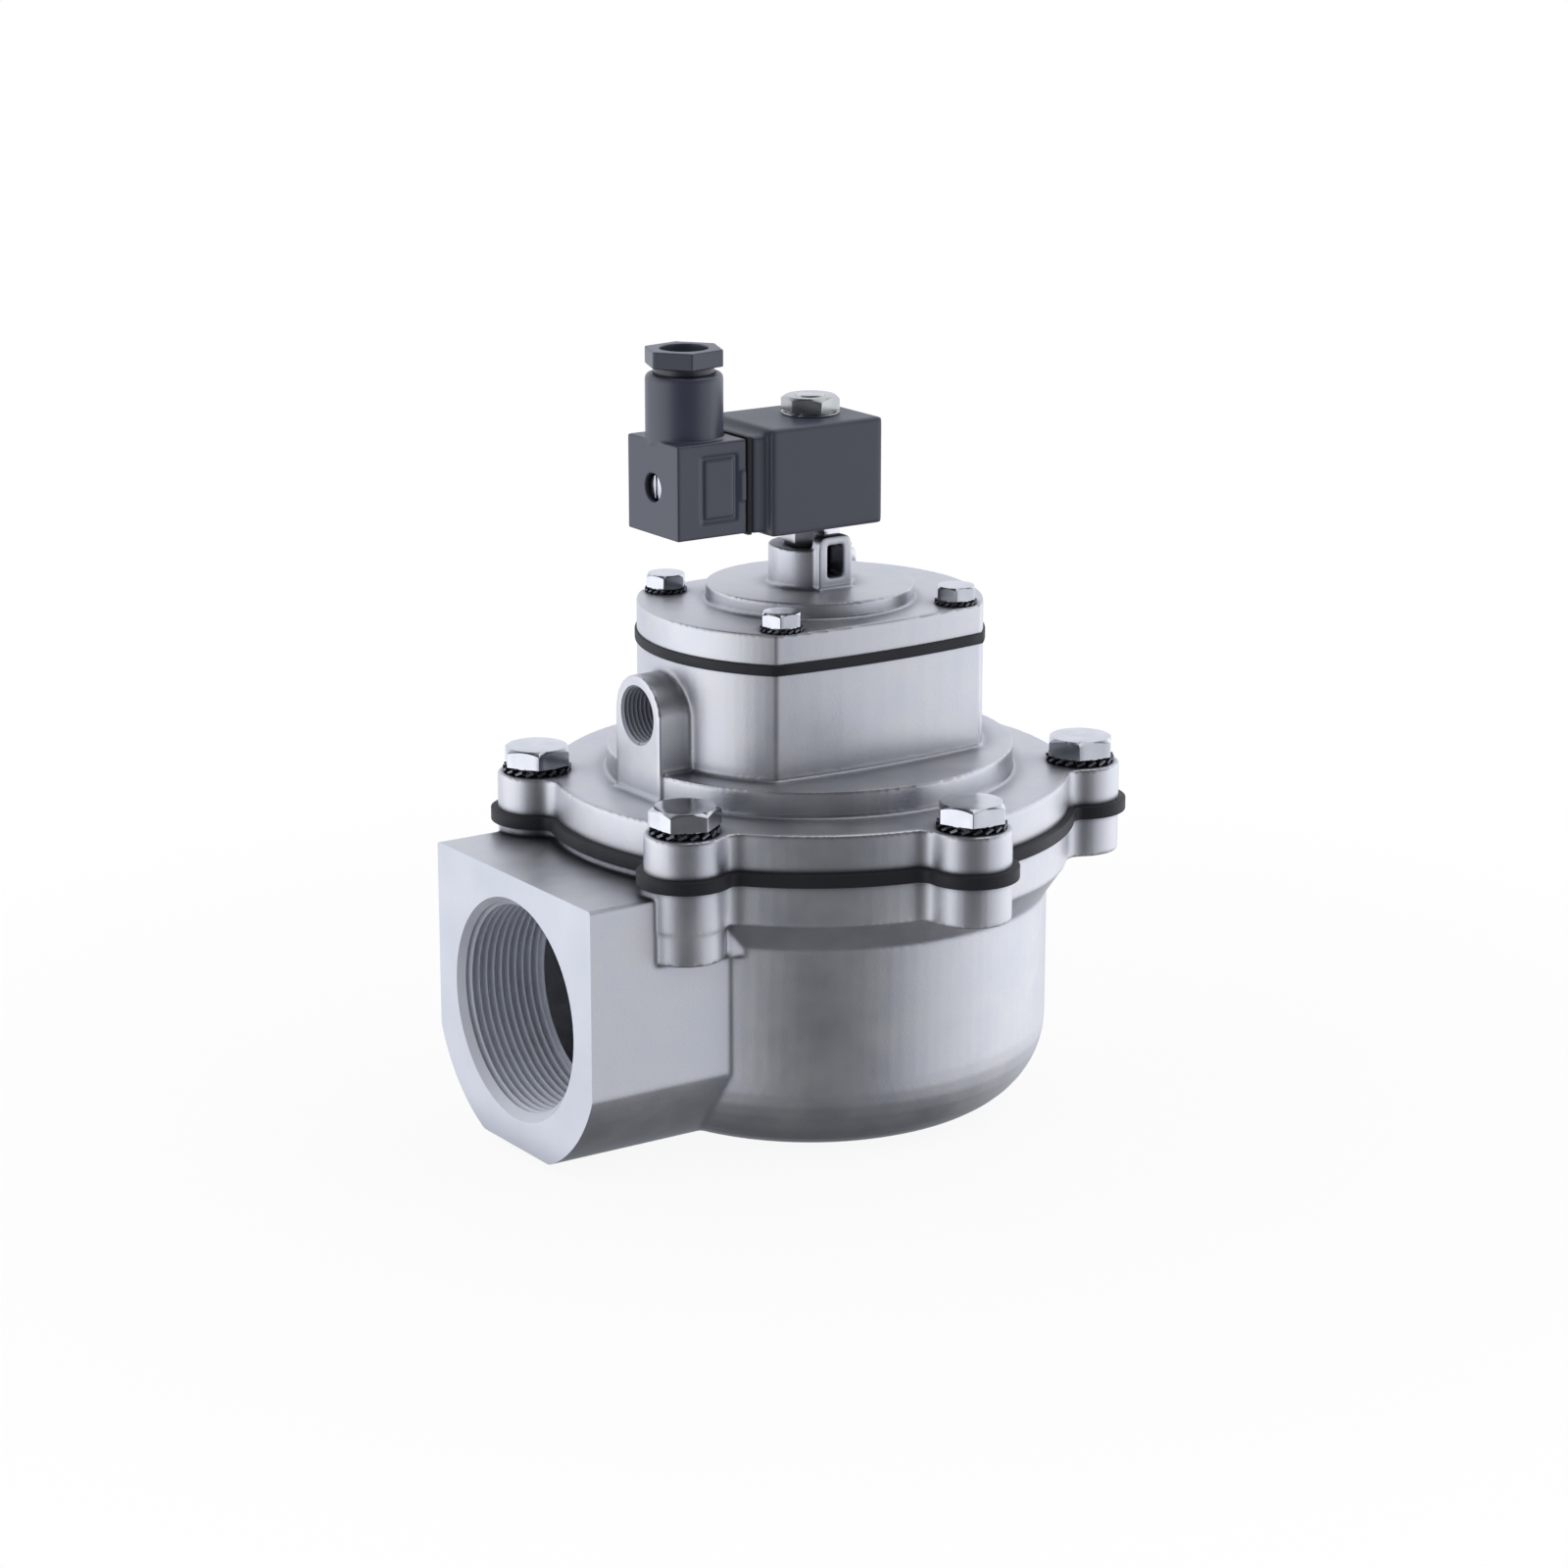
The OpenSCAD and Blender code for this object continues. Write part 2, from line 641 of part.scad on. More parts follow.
module valve_body() {
    lug_x = sqrt(cup_r * cup_r - port_half_w * port_half_w);
    color("#a3a7af") difference() {
        union() {
            cup_outside();
            translate([0, 0, body_top_z - body_flange_t]) linear_extrude(body_flange_t) flange_plan();
            on_ring(bolt_ring_r, boss_angles) rod(ear_r - flange_lip, body_top_z - boss_h, body_top_z - eps);
            translate([-port_reach, 0, 0]) rotate([90, 0, 90])
                linear_extrude(port_reach - nozzle_out_r) port_plan();
            for (side = [-1, 1])
                translate([-lug_x - lug_size[0] / 2, side * port_half_w - lug_size[1], lug_z])
                    cube([lug_size[0], 2 * lug_size[1], lug_size[2]]);
        }
        cup_inside();
        mouth_bore(pipe_r, pipe_chamfer, pipe_thread_l);
        rod(nozzle_r, pipe_thread_l - eps, seat_z + eps);
        translate([-port_reach, 0, port_z]) rotate([0, 90, 0]) {
            mouth_bore(pipe_r, pipe_chamfer, pipe_thread_l);
            rod(passage_r, pipe_thread_l - eps, port_reach - nozzle_foot_r - eps);
        }
        on_ring(bolt_ring_r, bolt_angles)
            rod(bolt_r + tap_gap, flange_top_z + bolt_washer_t - bolt_l - blind_gap, body_top_z + eps);
    }
}

module exhaust_boss() {
    translate([-step_r, 0, 0]) rotate([90, 0, 90]) linear_extrude(step_r - ring_r - eps) {
        translate([0, exhaust_axis_z]) circle(r = exhaust_boss_r);
        translate([-exhaust_boss_r, flange_top_z - eps])
            square([2 * exhaust_boss_r, exhaust_axis_z - flange_top_z + eps]);
    }
}

module main_cover() {
    color("#a8acb4") difference() {
        union() {
            translate([0, 0, cover_z]) linear_extrude(cover_flange_t) flange_plan();
            rod(step_r, flange_top_z - eps, step_z, $fn = large_fn);
            translate([0, 0, step_z - eps]) linear_extrude(block_h + eps) block_plan();
            exhaust_boss();
        }
        rod(chamber_r, cover_z - eps, chamber_z);
        rod(recess_r, chamber_z - eps, recess_z);
        rod(pilot_r, recess_z - eps, block_z + eps);
        difference() {
            rod(ring_r, ring_z, block_z + eps);
            rod(pilot_out_r, ring_z - eps, pilot_seat_z);
        }
        translate([-step_r, 0, exhaust_axis_z]) rotate([0, 90, 0]) {
            mouth_bore(exhaust_r, exhaust_chamfer, exhaust_thread_l);
            rod(exhaust_passage_r, exhaust_thread_l - eps, step_r - ring_r + 2 * eps);
        }
        on_ring(bolt_ring_r, bolt_angles) rod(bolt_r + bolt_gap, cover_z - eps, flange_top_z + eps);
        on_ring(small_ring_r, small_angles)
            rod(small_r + tap_gap, plate_z + small_washer_t - small_l - blind_gap, block_z + eps);
    }
}

module vent_pad() {
    pad_y = tower_r + vent_pad_proud;
    corner = vent_pad_w / 4;
    translate([0, -pad_y + vent_pad_t, 0]) rotate([90, 0, 0]) linear_extrude(vent_pad_t) {
        translate([-vent_pad_w / 2, disc_z - eps]) square([vent_pad_w, vent_pad_h - corner + eps]);
        translate([-vent_pad_w / 2 + corner, disc_z]) square([vent_pad_w - 2 * corner, vent_pad_h]);
        for (side = [-1, 1]) translate([side * (vent_pad_w / 2 - corner), disc_z + vent_pad_h - corner])
            circle(r = corner);
    }
}

module top_cover() {
    color("#aeb2ba") difference() {
        union() {
            translate([0, 0, top_z]) linear_extrude(top_plate_t) block_plan();
            rod(disc_r, plate_z - eps, disc_z);
            rod(tower_r, disc_z - eps, tower_z);
            vent_pad();
        }
        rod(top_chamber_r, top_z - eps, top_chamber_z);
        rod(tower_bore_r, floor_z, tower_z + eps);
        rod(orifice_out_r, top_chamber_z - eps, floor_z + eps);
        translate([-vent_w / 2, -tower_r - vent_pad_proud - eps, disc_z + vent_foot])
            cube([vent_w, tower_r + vent_pad_proud + eps, vent_h]);
        on_ring(small_ring_r, small_angles) rod(small_r + small_gap, top_z - eps, plate_z + eps);
    }
}

module main_bolts() {
    head_z = flange_top_z + bolt_washer_t;
    color("#d6d9de") on_ring(bolt_ring_r, bolt_angles) {
        rod(bolt_r, head_z - bolt_l, head_z + eps);
        rotate(bolt_turn) hexagon_head(bolt_flats, head_z, head_z + bolt_head_h);
    }
}

// A lock washer whose rim is cut into teeth
module toothed_washer(r_out, r_in, z0, z1, notches) {
    depth = (r_out - r_in) * notch_depth;
    width = depth * notch_width;
    difference() {
        ring(r_out, r_in, z0, z1);
        for (i = [0:notches - 1]) rotate(360 / notches * i) translate([r_out - depth, -width / 2, z0 - eps])
            cube([depth + eps, width, z1 - z0 + 2 * eps]);
    }
}

module main_lock_washers() {
    foot = flange_top_z;
    color("#8d9097") on_ring(bolt_ring_r, bolt_angles)
        toothed_washer(bolt_washer_r, bolt_r + washer_gap, foot, foot + bolt_washer_t, bolt_notches);
}

module cover_bolts() {
    head_z = plate_z + small_washer_t;
    color("#d6d9de") on_ring(small_ring_r, small_angles) {
        rod(small_r, head_z - small_l, head_z + eps);
        rotate(small_turn) hexagon_head(small_flats, head_z, head_z + small_head_h);
    }
}

module cover_lock_washers() {
    foot = plate_z;
    color("#8d9097") on_ring(small_ring_r, small_angles)
        toothed_washer(small_washer_r, small_r + washer_gap, foot, foot + small_washer_t, small_notches);
}

// Profile of a membrane that falls from its rim to a flat middle
module membrane_profile(rim_r, rim_z, rim_h, flat_r, flat_z, flat_h, hole) {
    slope = atan((rim_z - flat_z) / (rim_r - flat_r));
    knee = flat_h * tan(slope / 2);
    polygon([[rim_r + eps, rim_z], [rim_r + eps, rim_z + rim_h], [rim_r, rim_z + rim_h],
        [flat_r, flat_z + flat_h], [hole, flat_z + flat_h], [hole, flat_z],
        [flat_r + knee, flat_z], [rim_r, rim_z]]);
}

module main_diaphragm() {
    color("#26272c") {
        difference() {
            translate([0, 0, body_top_z]) linear_extrude(rim_t) flange_plan(rim_proud);
            rod(web_rim_r, body_top_z - eps, cover_z + eps);
            on_ring(bolt_ring_r, bolt_angles) rod(bolt_r + bolt_gap, body_top_z - eps, cover_z + eps);
        }
        rotate_extrude() membrane_profile(web_rim_r, body_top_z, rim_t, web_flat_r, web_z, web_t, stem_r);
    }
}

module seat_seal() {
    color("#3a3b40") ring(seal_r, stem_r, seat_z, web_z);
}

module guide_disc() {
    color("#b4b7bd") ring(guide_r, stem_r, seat_z - guide_t, seat_z);
}

module diaphragm_plate() {
    color("#b4b7bd") ring(plate_r, stem_r, main_plate_z, main_nut_z);
}

module diaphragm_screw() {
    head_top = seat_z - guide_t;
    color("#c4c7cc") {
        rod(stem_r, head_top, stem_top_z);
        mirror([0, 0, 1]) hexagon_head(stem_flats, -head_top, -head_top + stem_head_h);
    }
}

module diaphragm_nut() {
    color("#c4c7cc") difference() {
        hexagon_head(stem_flats, main_nut_z, main_nut_z + stem_nut_h);
        rod(stem_r, main_nut_z - eps, main_nut_z + stem_nut_h + eps);
    }
}

// A round wire wound as a spring, with its end turns lying flat
module coil_spring(r, wire, z0, z1, turns, sides = 8, per_turn = 20) {
    steps = turns * per_turn;
    low = z0 + wire / 2 + spring_gap;
    high = z1 - wire / 2 - spring_gap;
    flat = spring_flat / turns;
    function rise(t) = low + (high - low) * max(0, min(1, (t - flat) / (1 - 2 * flat)));
    points = [for (i = [0:steps]) let (t = i / steps, a = 360 * turns * t)
        for (k = [0:sides - 1]) let (b = 360 * k / sides, q = r + wire / 2 * cos(b))
            [q * cos(a), q * sin(a), rise(t) + wire / 2 * sin(b)]];
    last = steps * sides;
    walls = [for (i = [0:steps - 1]) for (k = [0:sides - 1]) let (n = (k + 1) % sides)
        let (a = i * sides, b = a + sides) for (f = [[a + k, b + k, b + n], [a + k, b + n, a + n]]) f];
    first_cap = [for (k = [0:sides - 1]) k];
    last_cap = [for (k = [0:sides - 1]) last + sides - 1 - k];
    polyhedron(points = points, faces = concat(walls, [first_cap], [last_cap]));
}

module main_spring() {
    color("#9fa2a8") coil_spring(main_spring_r, main_wire, main_nut_z, recess_z, main_turns);
}

module pilot_diaphragm() {
    color("#26272c") {
        difference() {
            translate([0, 0, block_z]) linear_extrude(pilot_rim_t) block_plan(pilot_rim_proud);
            rod(pilot_rim_r, block_z - eps, top_z + eps);
            on_ring(small_ring_r, small_angles) rod(small_r + small_gap, block_z - eps, top_z + eps);
        }
        rotate_extrude() membrane_profile(pilot_rim_r, block_z, pilot_rim_t,
            pilot_flat_r, pilot_seat_z, pilot_web_t, rivet_r);
    }
}

module pilot_plate() {
    color("#b4b7bd") ring(pilot_plate_r, rivet_r, pilot_plate_z, pilot_top_z);
}

module pilot_disc() {
    color("#b4b7bd") ring(pilot_disc_r, rivet_r, pilot_seat_z - pilot_plate_t, pilot_seat_z);
}

module pilot_rivet() {
    foot = pilot_seat_z - pilot_plate_t;
    color("#c4a35a") {
        rod(rivet_r, foot - rivet_head_h, pilot_top_z + rivet_head_h);
        rod(rivet_head_r, foot - rivet_head_h, foot);
        rod(rivet_head_r, pilot_top_z, pilot_top_z + rivet_head_h);
    }
}

module pilot_spring() {
    color("#9fa2a8")
        coil_spring(pilot_spring_r, pilot_wire, pilot_top_z, top_chamber_z, pilot_turns, 6, 18);
}

module pilot_orifice() {
    color("#c4a35a") ring(orifice_out_r, orifice_r, top_chamber_z, plunger_z);
}

module core_tube() {
    color("#d0d3d8") difference() {
        union() {
            rod(tower_bore_r - tap_gap, tower_z - tube_shank_l, hex_z);
            rotate(tube_turn) hexagon_bar(tube_flats, hex_z, hex_z + tube_hex_h);
            rod(tube_r, hex_z + tube_hex_h - eps, coil_top_z);
        }
        rod(tube_bore_r, tower_z - tube_shank_l - eps, coil_top_z + eps);
    }
}

module tube_seal() {
    color("#26272c") ring(tube_flats / 2, tower_bore_r, tower_z, hex_z);
}

module fixed_core() {
    color("#c9ccd1") {
        rod(tube_bore_r, core_z, coil_washer_z);
        rod(stud_r, coil_top_z - eps, coil_nut_z + coil_nut_h + stud_proud);
    }
}

module plunger() {
    pocket_r = plunger_spring_r + plunger_wire / 2 + slide_gap;
    color("#b9bcc2") difference() {
        rod(plunger_r, plunger_body_z, plunger_top_z);
        rod(plunger_seal_r, plunger_body_z - eps, plunger_z + plunger_seal_t);
        rod(pocket_r, plunger_top_z - plunger_pocket, plunger_top_z + eps);
    }
}

module plunger_seal() {
    color("#26272c") rod(plunger_seal_r, plunger_z, plunger_z + plunger_seal_t);
}

module plunger_spring() {
    foot = plunger_top_z - plunger_pocket;
    color("#9fa2a8") coil_spring(plunger_spring_r, plunger_wire, foot, core_z, plunger_turns, 6, 12);
}

module yoke_shape() {
    for (z = [yoke_z, bobbin_top_z]) translate([-yoke_back, -bobbin_r, z])
        cube([yoke_back + yoke_front, 2 * bobbin_r, yoke_t]);
    translate([yoke_front - yoke_t, -bobbin_r, yoke_z]) cube([yoke_t, 2 * bobbin_r, yoke_top_z - yoke_z]);
}

module coil_yoke() {
    color("#8f939a") difference() {
        yoke_shape();
        rod(coil_bore_r, coil_z - eps, coil_top_z + eps);
    }
}

module coil_bobbin() {
    color("#e6e2d6") {
        ring(coil_bore_r + bobbin_t, coil_bore_r, bobbin_z, bobbin_top_z);
        for (z = [bobbin_z, bobbin_top_z - bobbin_flange_t])
            ring(bobbin_r, coil_bore_r, z, z + bobbin_flange_t);
    }
}

module coil_winding() {
    color("#b5673a") ring(bobbin_r - winding_inset, coil_bore_r + bobbin_t,
        bobbin_z + bobbin_flange_t, bobbin_top_z - bobbin_flange_t);
}

// Puts a blade-shaped child at each terminal, looking along -X
module at_terminals() {
    for (side = [-1, 1]) translate([0, side * blade_y, plug_mid_z + blade_z]) children();
    translate([0, 0, plug_mid_z - blade_earth_z]) rotate([90, 0, 0]) children();
}

// A terminal blade that ends at x1 and starts inside its block at x0
module blade(x0, x1, gap = 0) {
    translate([-x1, -blade_t / 2 - gap, -blade_w / 2 - gap])
        cube([x1 - x0, blade_t + 2 * gap, blade_w + 2 * gap]);
}

module coil_housing() {
    color("#474a54") difference() {
        union() {
            translate([-coil_back, -coil_half_w, coil_z])
                cube([coil_back + coil_front, 2 * coil_half_w, coil_h]);
            translate([-base_x, -gasket_half_w, gasket_z])
                cube([base_l + eps, 2 * gasket_half_w, gasket_h]);
        }
        rod(coil_bore_r, coil_z - eps, coil_top_z + eps);
        yoke_shape();
        rod(bobbin_r, bobbin_z - eps, bobbin_top_z + eps);
        at_terminals() blade(coil_back - blade_root, base_x + eps);
        translate([-base_x, 0, plug_mid_z]) rotate([0, 90, 0])
            rod(plug_screw_r + tap_gap, -eps, plug_screw_grip + blind_gap);
    }
}

module coil_terminals() {
    color("#c9ccd1") at_terminals() blade(coil_back - blade_root, base_x + blade_l);
}

module coil_washer() {
    color("#b9bcc2") ring(coil_washer_r, stud_r + washer_gap, coil_washer_z, coil_nut_z);
}

module coil_nut() {
    color("#d6d9de") difference() {
        rotate(coil_nut_turn) hexagon_head(coil_nut_flats, coil_nut_z, coil_nut_z + coil_nut_h);
        rod(stud_r, coil_nut_z - eps, coil_nut_z + coil_nut_h + eps);
    }
}

module plug_gasket() {
    color("#1d1e22") difference() {
        translate([-plug_x, -gasket_half_w, gasket_z]) cube([flat_gasket_t, 2 * gasket_half_w, gasket_h]);
        at_terminals() blade(base_x - eps, plug_x + eps, insert_gap);
        translate([-plug_x, 0, plug_mid_z]) rotate([0, 90, 0])
            rod(plug_screw_r + insert_gap, -eps, flat_gasket_t + eps);
    }
}

module plug_housing() {
    cavity_l = plug_l - plug_sink_d - plug_wall;
    half = plug_half_w - plug_wall;
    color("#4b4e58") difference() {
        union() {
            translate([-plug_end_x, -plug_half_w, plug_z]) cube([plug_l, 2 * plug_half_w, plug_h]);
            translate([-gland_x, 0, plug_top_z - eps]) rotate_extrude() polygon(concat([[0, 0], [gland_r, 0]],
                arc(gland_r - gland_shoulder, gland_h + eps - gland_shoulder, gland_shoulder, 0, 90),
                [[0, gland_h + eps]]));
        }
        translate([-plug_x - cavity_l, -half, plug_z + plug_wall])
            cube([cavity_l + eps, 2 * half, plug_h - 2 * plug_wall]);
        translate([-gland_x, 0, 0]) {
            rod(gland_hole_r, plug_top_z - plug_wall - eps, gland_seal_z + eps);
            rod(gland_bore_r, gland_seal_z, gland_top_z + eps);
        }
        translate([-plug_end_x, 0, plug_mid_z]) rotate([0, 90, 0]) {
            rod(plug_sink_r, -eps, plug_sink_d);
            rod(plug_screw_r + insert_gap, 0, plug_l);
        }
        for (side = [-1, 1]) translate([-plug_x - panel_place[0] - panel_size[0],
            side * plug_half_w - panel_groove_d, plug_z + panel_place[1]])
            difference() {
                cube([panel_size[0], 2 * panel_groove_d, panel_size[1]]);
                translate([panel_groove_w, -eps, panel_groove_w]) cube([panel_size[0] - 2 * panel_groove_w,
                    2 * panel_groove_d + 2 * eps, panel_size[1] - 2 * panel_groove_w]);
            }
    }
}

module plug_insert() {
    half = plug_half_w - plug_wall - insert_gap;
    length = plug_l - plug_sink_d - plug_wall - insert_gap;
    height = plug_h - 2 * plug_wall - 2 * insert_gap;
    color("#202126") difference() {
        translate([-plug_x - length, -half, plug_z + plug_wall + insert_gap])
            cube([length, 2 * half, height - insert_headroom]);
        at_terminals() blade(plug_x - eps, base_x + blade_l + insert_gap, insert_gap);
        translate([-plug_end_x, 0, plug_mid_z]) rotate([0, 90, 0])
            rod(plug_screw_r + insert_gap, 0, plug_l + eps);
    }
}

module plug_screw() {
    head_x = plug_end_x - plug_sink_d;
    color("#d0d3d8") translate([-head_x, 0, plug_mid_z]) rotate([0, 90, 0]) {
        rod(plug_screw_r, 0, head_x - base_x + plug_screw_grip);
        difference() {
            rod(plug_screw_head_r, -plug_screw_head_h, 0);
            translate([-plug_screw_head_r - eps, -plug_screw_slot / 2, -plug_screw_head_h - eps])
                cube([2 * plug_screw_head_r + 2 * eps, plug_screw_slot, plug_screw_head_h / 2 + eps]);
        }
    }
}

module gland_seal() {
    color("#2a2b30") translate([-gland_x, 0, 0])
        ring(gland_neck_r, gland_seal_r, gland_seal_z, gland_seal_z + gland_seal_l);
}

module gland_washer() {
    foot = gland_seal_z + gland_seal_l;
    color("#c9ccd1") translate([-gland_x, 0, 0])
        ring(gland_neck_r, gland_washer_r, foot, foot + gland_washer_t);
}

module gland_nut() {
    foot = gland_seal_z + gland_seal_l + gland_washer_t;
    color("#3e4049") translate([-gland_x, 0, 0]) difference() {
        union() {
            rod(gland_neck_r, foot, gland_head_z);
            rotate(gland_turn) hexagon_bar(gland_flats, gland_head_z, gland_head_z + gland_nut_h);
        }
        rod(gland_hole_r, foot - eps, gland_head_z + gland_nut_h + eps);
    }
}

valve_body();
main_cover();
top_cover();
main_bolts();
main_lock_washers();
cover_bolts();
cover_lock_washers();
main_diaphragm();
seat_seal();
guide_disc();
diaphragm_plate();
diaphragm_screw();
diaphragm_nut();
main_spring();
pilot_diaphragm();
pilot_plate();
pilot_disc();
pilot_rivet();
pilot_spring();
pilot_orifice();
core_tube();
tube_seal();
fixed_core();
plunger();
plunger_seal();
plunger_spring();
coil_housing();
coil_yoke();
coil_bobbin();
coil_winding();
coil_terminals();
coil_washer();
coil_nut();
plug_gasket();
plug_housing();
plug_insert();
plug_screw();
gland_seal();
gland_washer();
gland_nut();
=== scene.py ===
# %% [markdown]
# # Dressing a diaphragm pulse valve
# The valve comes in as a fixed frame of plain solids. Each step below takes one family of its pieces, says
# what it is on the real valve, and gives it the shape and the finish of the real thing. All lengths are in
# metres and MM turns millimetres into them. The castings come first, because they are most of what the eye
# sees, then what is screwed onto them, then the coil and its plug, then the inside.

# %% Load the frame
import json
import math

import bmesh
import bpy
from mathutils import Matrix, Vector


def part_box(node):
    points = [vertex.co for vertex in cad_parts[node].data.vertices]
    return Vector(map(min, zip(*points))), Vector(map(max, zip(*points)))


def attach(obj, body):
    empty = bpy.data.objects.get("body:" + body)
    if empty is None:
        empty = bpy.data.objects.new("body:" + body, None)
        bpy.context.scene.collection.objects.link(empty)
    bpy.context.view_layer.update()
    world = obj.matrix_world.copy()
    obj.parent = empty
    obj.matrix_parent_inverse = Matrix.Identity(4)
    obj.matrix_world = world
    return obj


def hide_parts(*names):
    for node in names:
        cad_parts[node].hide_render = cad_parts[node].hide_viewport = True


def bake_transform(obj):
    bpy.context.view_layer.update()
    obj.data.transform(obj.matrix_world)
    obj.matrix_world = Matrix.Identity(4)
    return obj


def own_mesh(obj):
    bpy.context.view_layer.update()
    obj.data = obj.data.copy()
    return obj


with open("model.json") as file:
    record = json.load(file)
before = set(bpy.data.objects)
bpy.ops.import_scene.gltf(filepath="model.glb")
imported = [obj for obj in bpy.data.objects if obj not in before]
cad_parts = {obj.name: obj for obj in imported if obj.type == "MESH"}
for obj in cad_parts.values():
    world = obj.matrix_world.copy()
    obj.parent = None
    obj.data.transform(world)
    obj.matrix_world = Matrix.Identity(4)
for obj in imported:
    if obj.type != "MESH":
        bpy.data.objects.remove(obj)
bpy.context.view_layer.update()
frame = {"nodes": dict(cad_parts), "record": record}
MM = 0.001
NODES = frame["nodes"]

# %% [markdown]
# ## The camera
# A product photograph is taken from far away with a long lens, so that upright edges stay upright. The
# direction is given as an azimuth and an elevation, and the camera stands back along it from a point beside
# the valve's axis.

# %% Place the camera
AZIMUTH, ELEVATION = -34.02, 15.41
DISTANCE = 1160.4 * MM
TARGET_HEIGHT = 88.34 * MM
TARGET_RIGHT = -7.08 * MM
LENS_MM = 96.28

right = Vector((math.cos(math.radians(AZIMUTH)), math.sin(math.radians(AZIMUTH)), 0))


def towards(azimuth, elevation):
    """The way to a point at an azimuth, 0 in front and 90 at the right, and an elevation."""
    a, e = math.radians(azimuth), math.radians(elevation)
    return Vector((math.sin(a) * math.cos(e), -math.cos(a) * math.cos(e), math.sin(e)))


back = towards(AZIMUTH, ELEVATION)
camera = bpy.data.objects.new("camera", bpy.data.cameras.new("camera"))
bpy.context.scene.collection.objects.link(camera)
camera.data.lens = LENS_MM
camera.location = right * TARGET_RIGHT + Vector((0, 0, TARGET_HEIGHT)) + back * DISTANCE
camera.rotation_euler = (-back).to_track_quat("-Z", "Y").to_euler()
bpy.context.scene.camera = camera
print("camera:", [round(x, 3) for x in camera.location])

# %% [markdown]
# ## Helpers for node trees
# Colours are written as the hex values that a paint program shows, and one function turns them to the
# linear values that the renderer mixes. A second function adds a node, sets what is given by name, and
# links what is a socket. Two short ones stand for what the trees below do most: a calculation with two
# values, and the change from one range to another.


# %% Colour and node helpers
def colour(text):
    """The linear colour of an sRGB hex value such as #a0a4ac."""
    parts = [int(text[i : i + 2], 16) / 255 for i in (1, 3, 5)]
    return tuple(c / 12.92 if c <= 0.04045 else ((c + 0.055) / 1.055) ** 2.4 for c in parts) + (1.0,)


def add(tree, kind, inputs=None, **settings):
    """Adds a node to a tree. Inputs that are sockets are linked, and other inputs are set."""
    node = tree.nodes.new(kind)
    for name, value in settings.items():
        setattr(node, name, value)
    for name, value in (inputs or {}).items():
        if isinstance(value, bpy.types.NodeSocket):
            tree.links.new(value, node.inputs[name])
        else:
            node.inputs[name].default_value = value
    return node


def calc(tree, operation, first, second):
    """The output of a math node with two inputs."""
    return add(tree, "ShaderNodeMath", {0: first, 1: second}, operation=operation).outputs[0]


def ranged(tree, value, low, high, at_low=0.0, at_high=1.0, **settings):
    """The output of a node that carries a value from one range to another."""
    inputs = {0: value, 1: low, 2: high, 3: at_low, 4: at_high}
    return add(tree, "ShaderNodeMapRange", inputs, **settings).outputs[0]


# %% [markdown]
# ## A start for every material
# Each finish starts from the same few nodes: the point on the piece in metres, a slow noise that varies the
# colour and the gloss from place to place, and a fine noise for the grain of the surface. The grain's size
# is a real one, so its scale is one over that size.


# %% The material start
def finish_of(name, light, dark, gloss, grain_mm, grain_depth_mm, metallic=0.0, patch_mm=18, **sockets):
    """A material whose colour and roughness drift between two values, with a fine grain as bump."""
    material = bpy.data.materials.new(name)
    material.use_nodes = True
    tree = material.node_tree
    tree.nodes.clear()
    place = add(tree, "ShaderNodeTexCoord").outputs["Object"]
    patches = add(tree, "ShaderNodeTexNoise", {"Vector": place, "Scale": 1 / (patch_mm * MM), "Detail": 4.0})
    grain = add(tree, "ShaderNodeTexNoise", {"Vector": place, "Scale": 1 / (grain_mm * MM), "Detail": 3.0})
    tint = ranged(tree, patches.outputs[0], 0.3, 0.7)
    mix = add(tree, "ShaderNodeMix", {0: tint, 6: colour(dark), 7: colour(light)}, data_type="RGBA")
    rough = ranged(tree, patches.outputs[0], 0.3, 0.7, *gloss)
    bump = add(tree, "ShaderNodeBump", {"Height": grain.outputs[0], "Strength": 1.0,
                                        "Distance": grain_depth_mm * MM})
    given = {"Base Color": mix.outputs[2], "Roughness": rough, "Normal": bump.outputs[0],
             "Metallic": metallic, **sockets}
    shader = add(tree, "ShaderNodeBsdfPrincipled", given)
    add(tree, "ShaderNodeOutputMaterial", {"Surface": shader.outputs[0]})
    return material


def shader_of(material):
    """The shader node of a material that finish_of made."""
    return next(n for n in material.node_tree.nodes if n.type == "BSDF_PRINCIPLED")


# %% [markdown]
# ## Aluminium, as cast and as milled
# The castings are die-cast aluminium that was shot-blasted: a soft grey metal without a clear reflection,
# with a grain finer than a millimetre. Shade is painted into the colour where other surfaces stand close,
# in three layers: a wide faint one, a tight strong one, and one on upward faces alone at the foot of a
# wall. The port's face is milled after casting, which leaves a smoother metal with fine tool marks in
# rings around the bore. The threads are cut, and their flanks are duller than the face. The exhaust
# thread is painted a little greyer, as painted shade for the inside of its hole.

# %% Aluminium
GRAIN_MM = 0.7
cast = finish_of("shot_blasted_die_cast_aluminium", "#e3e3e5", "#d2d5dc", (0.38, 0.45), GRAIN_MM, 0.03,
                 metallic=1.0, patch_mm=11)


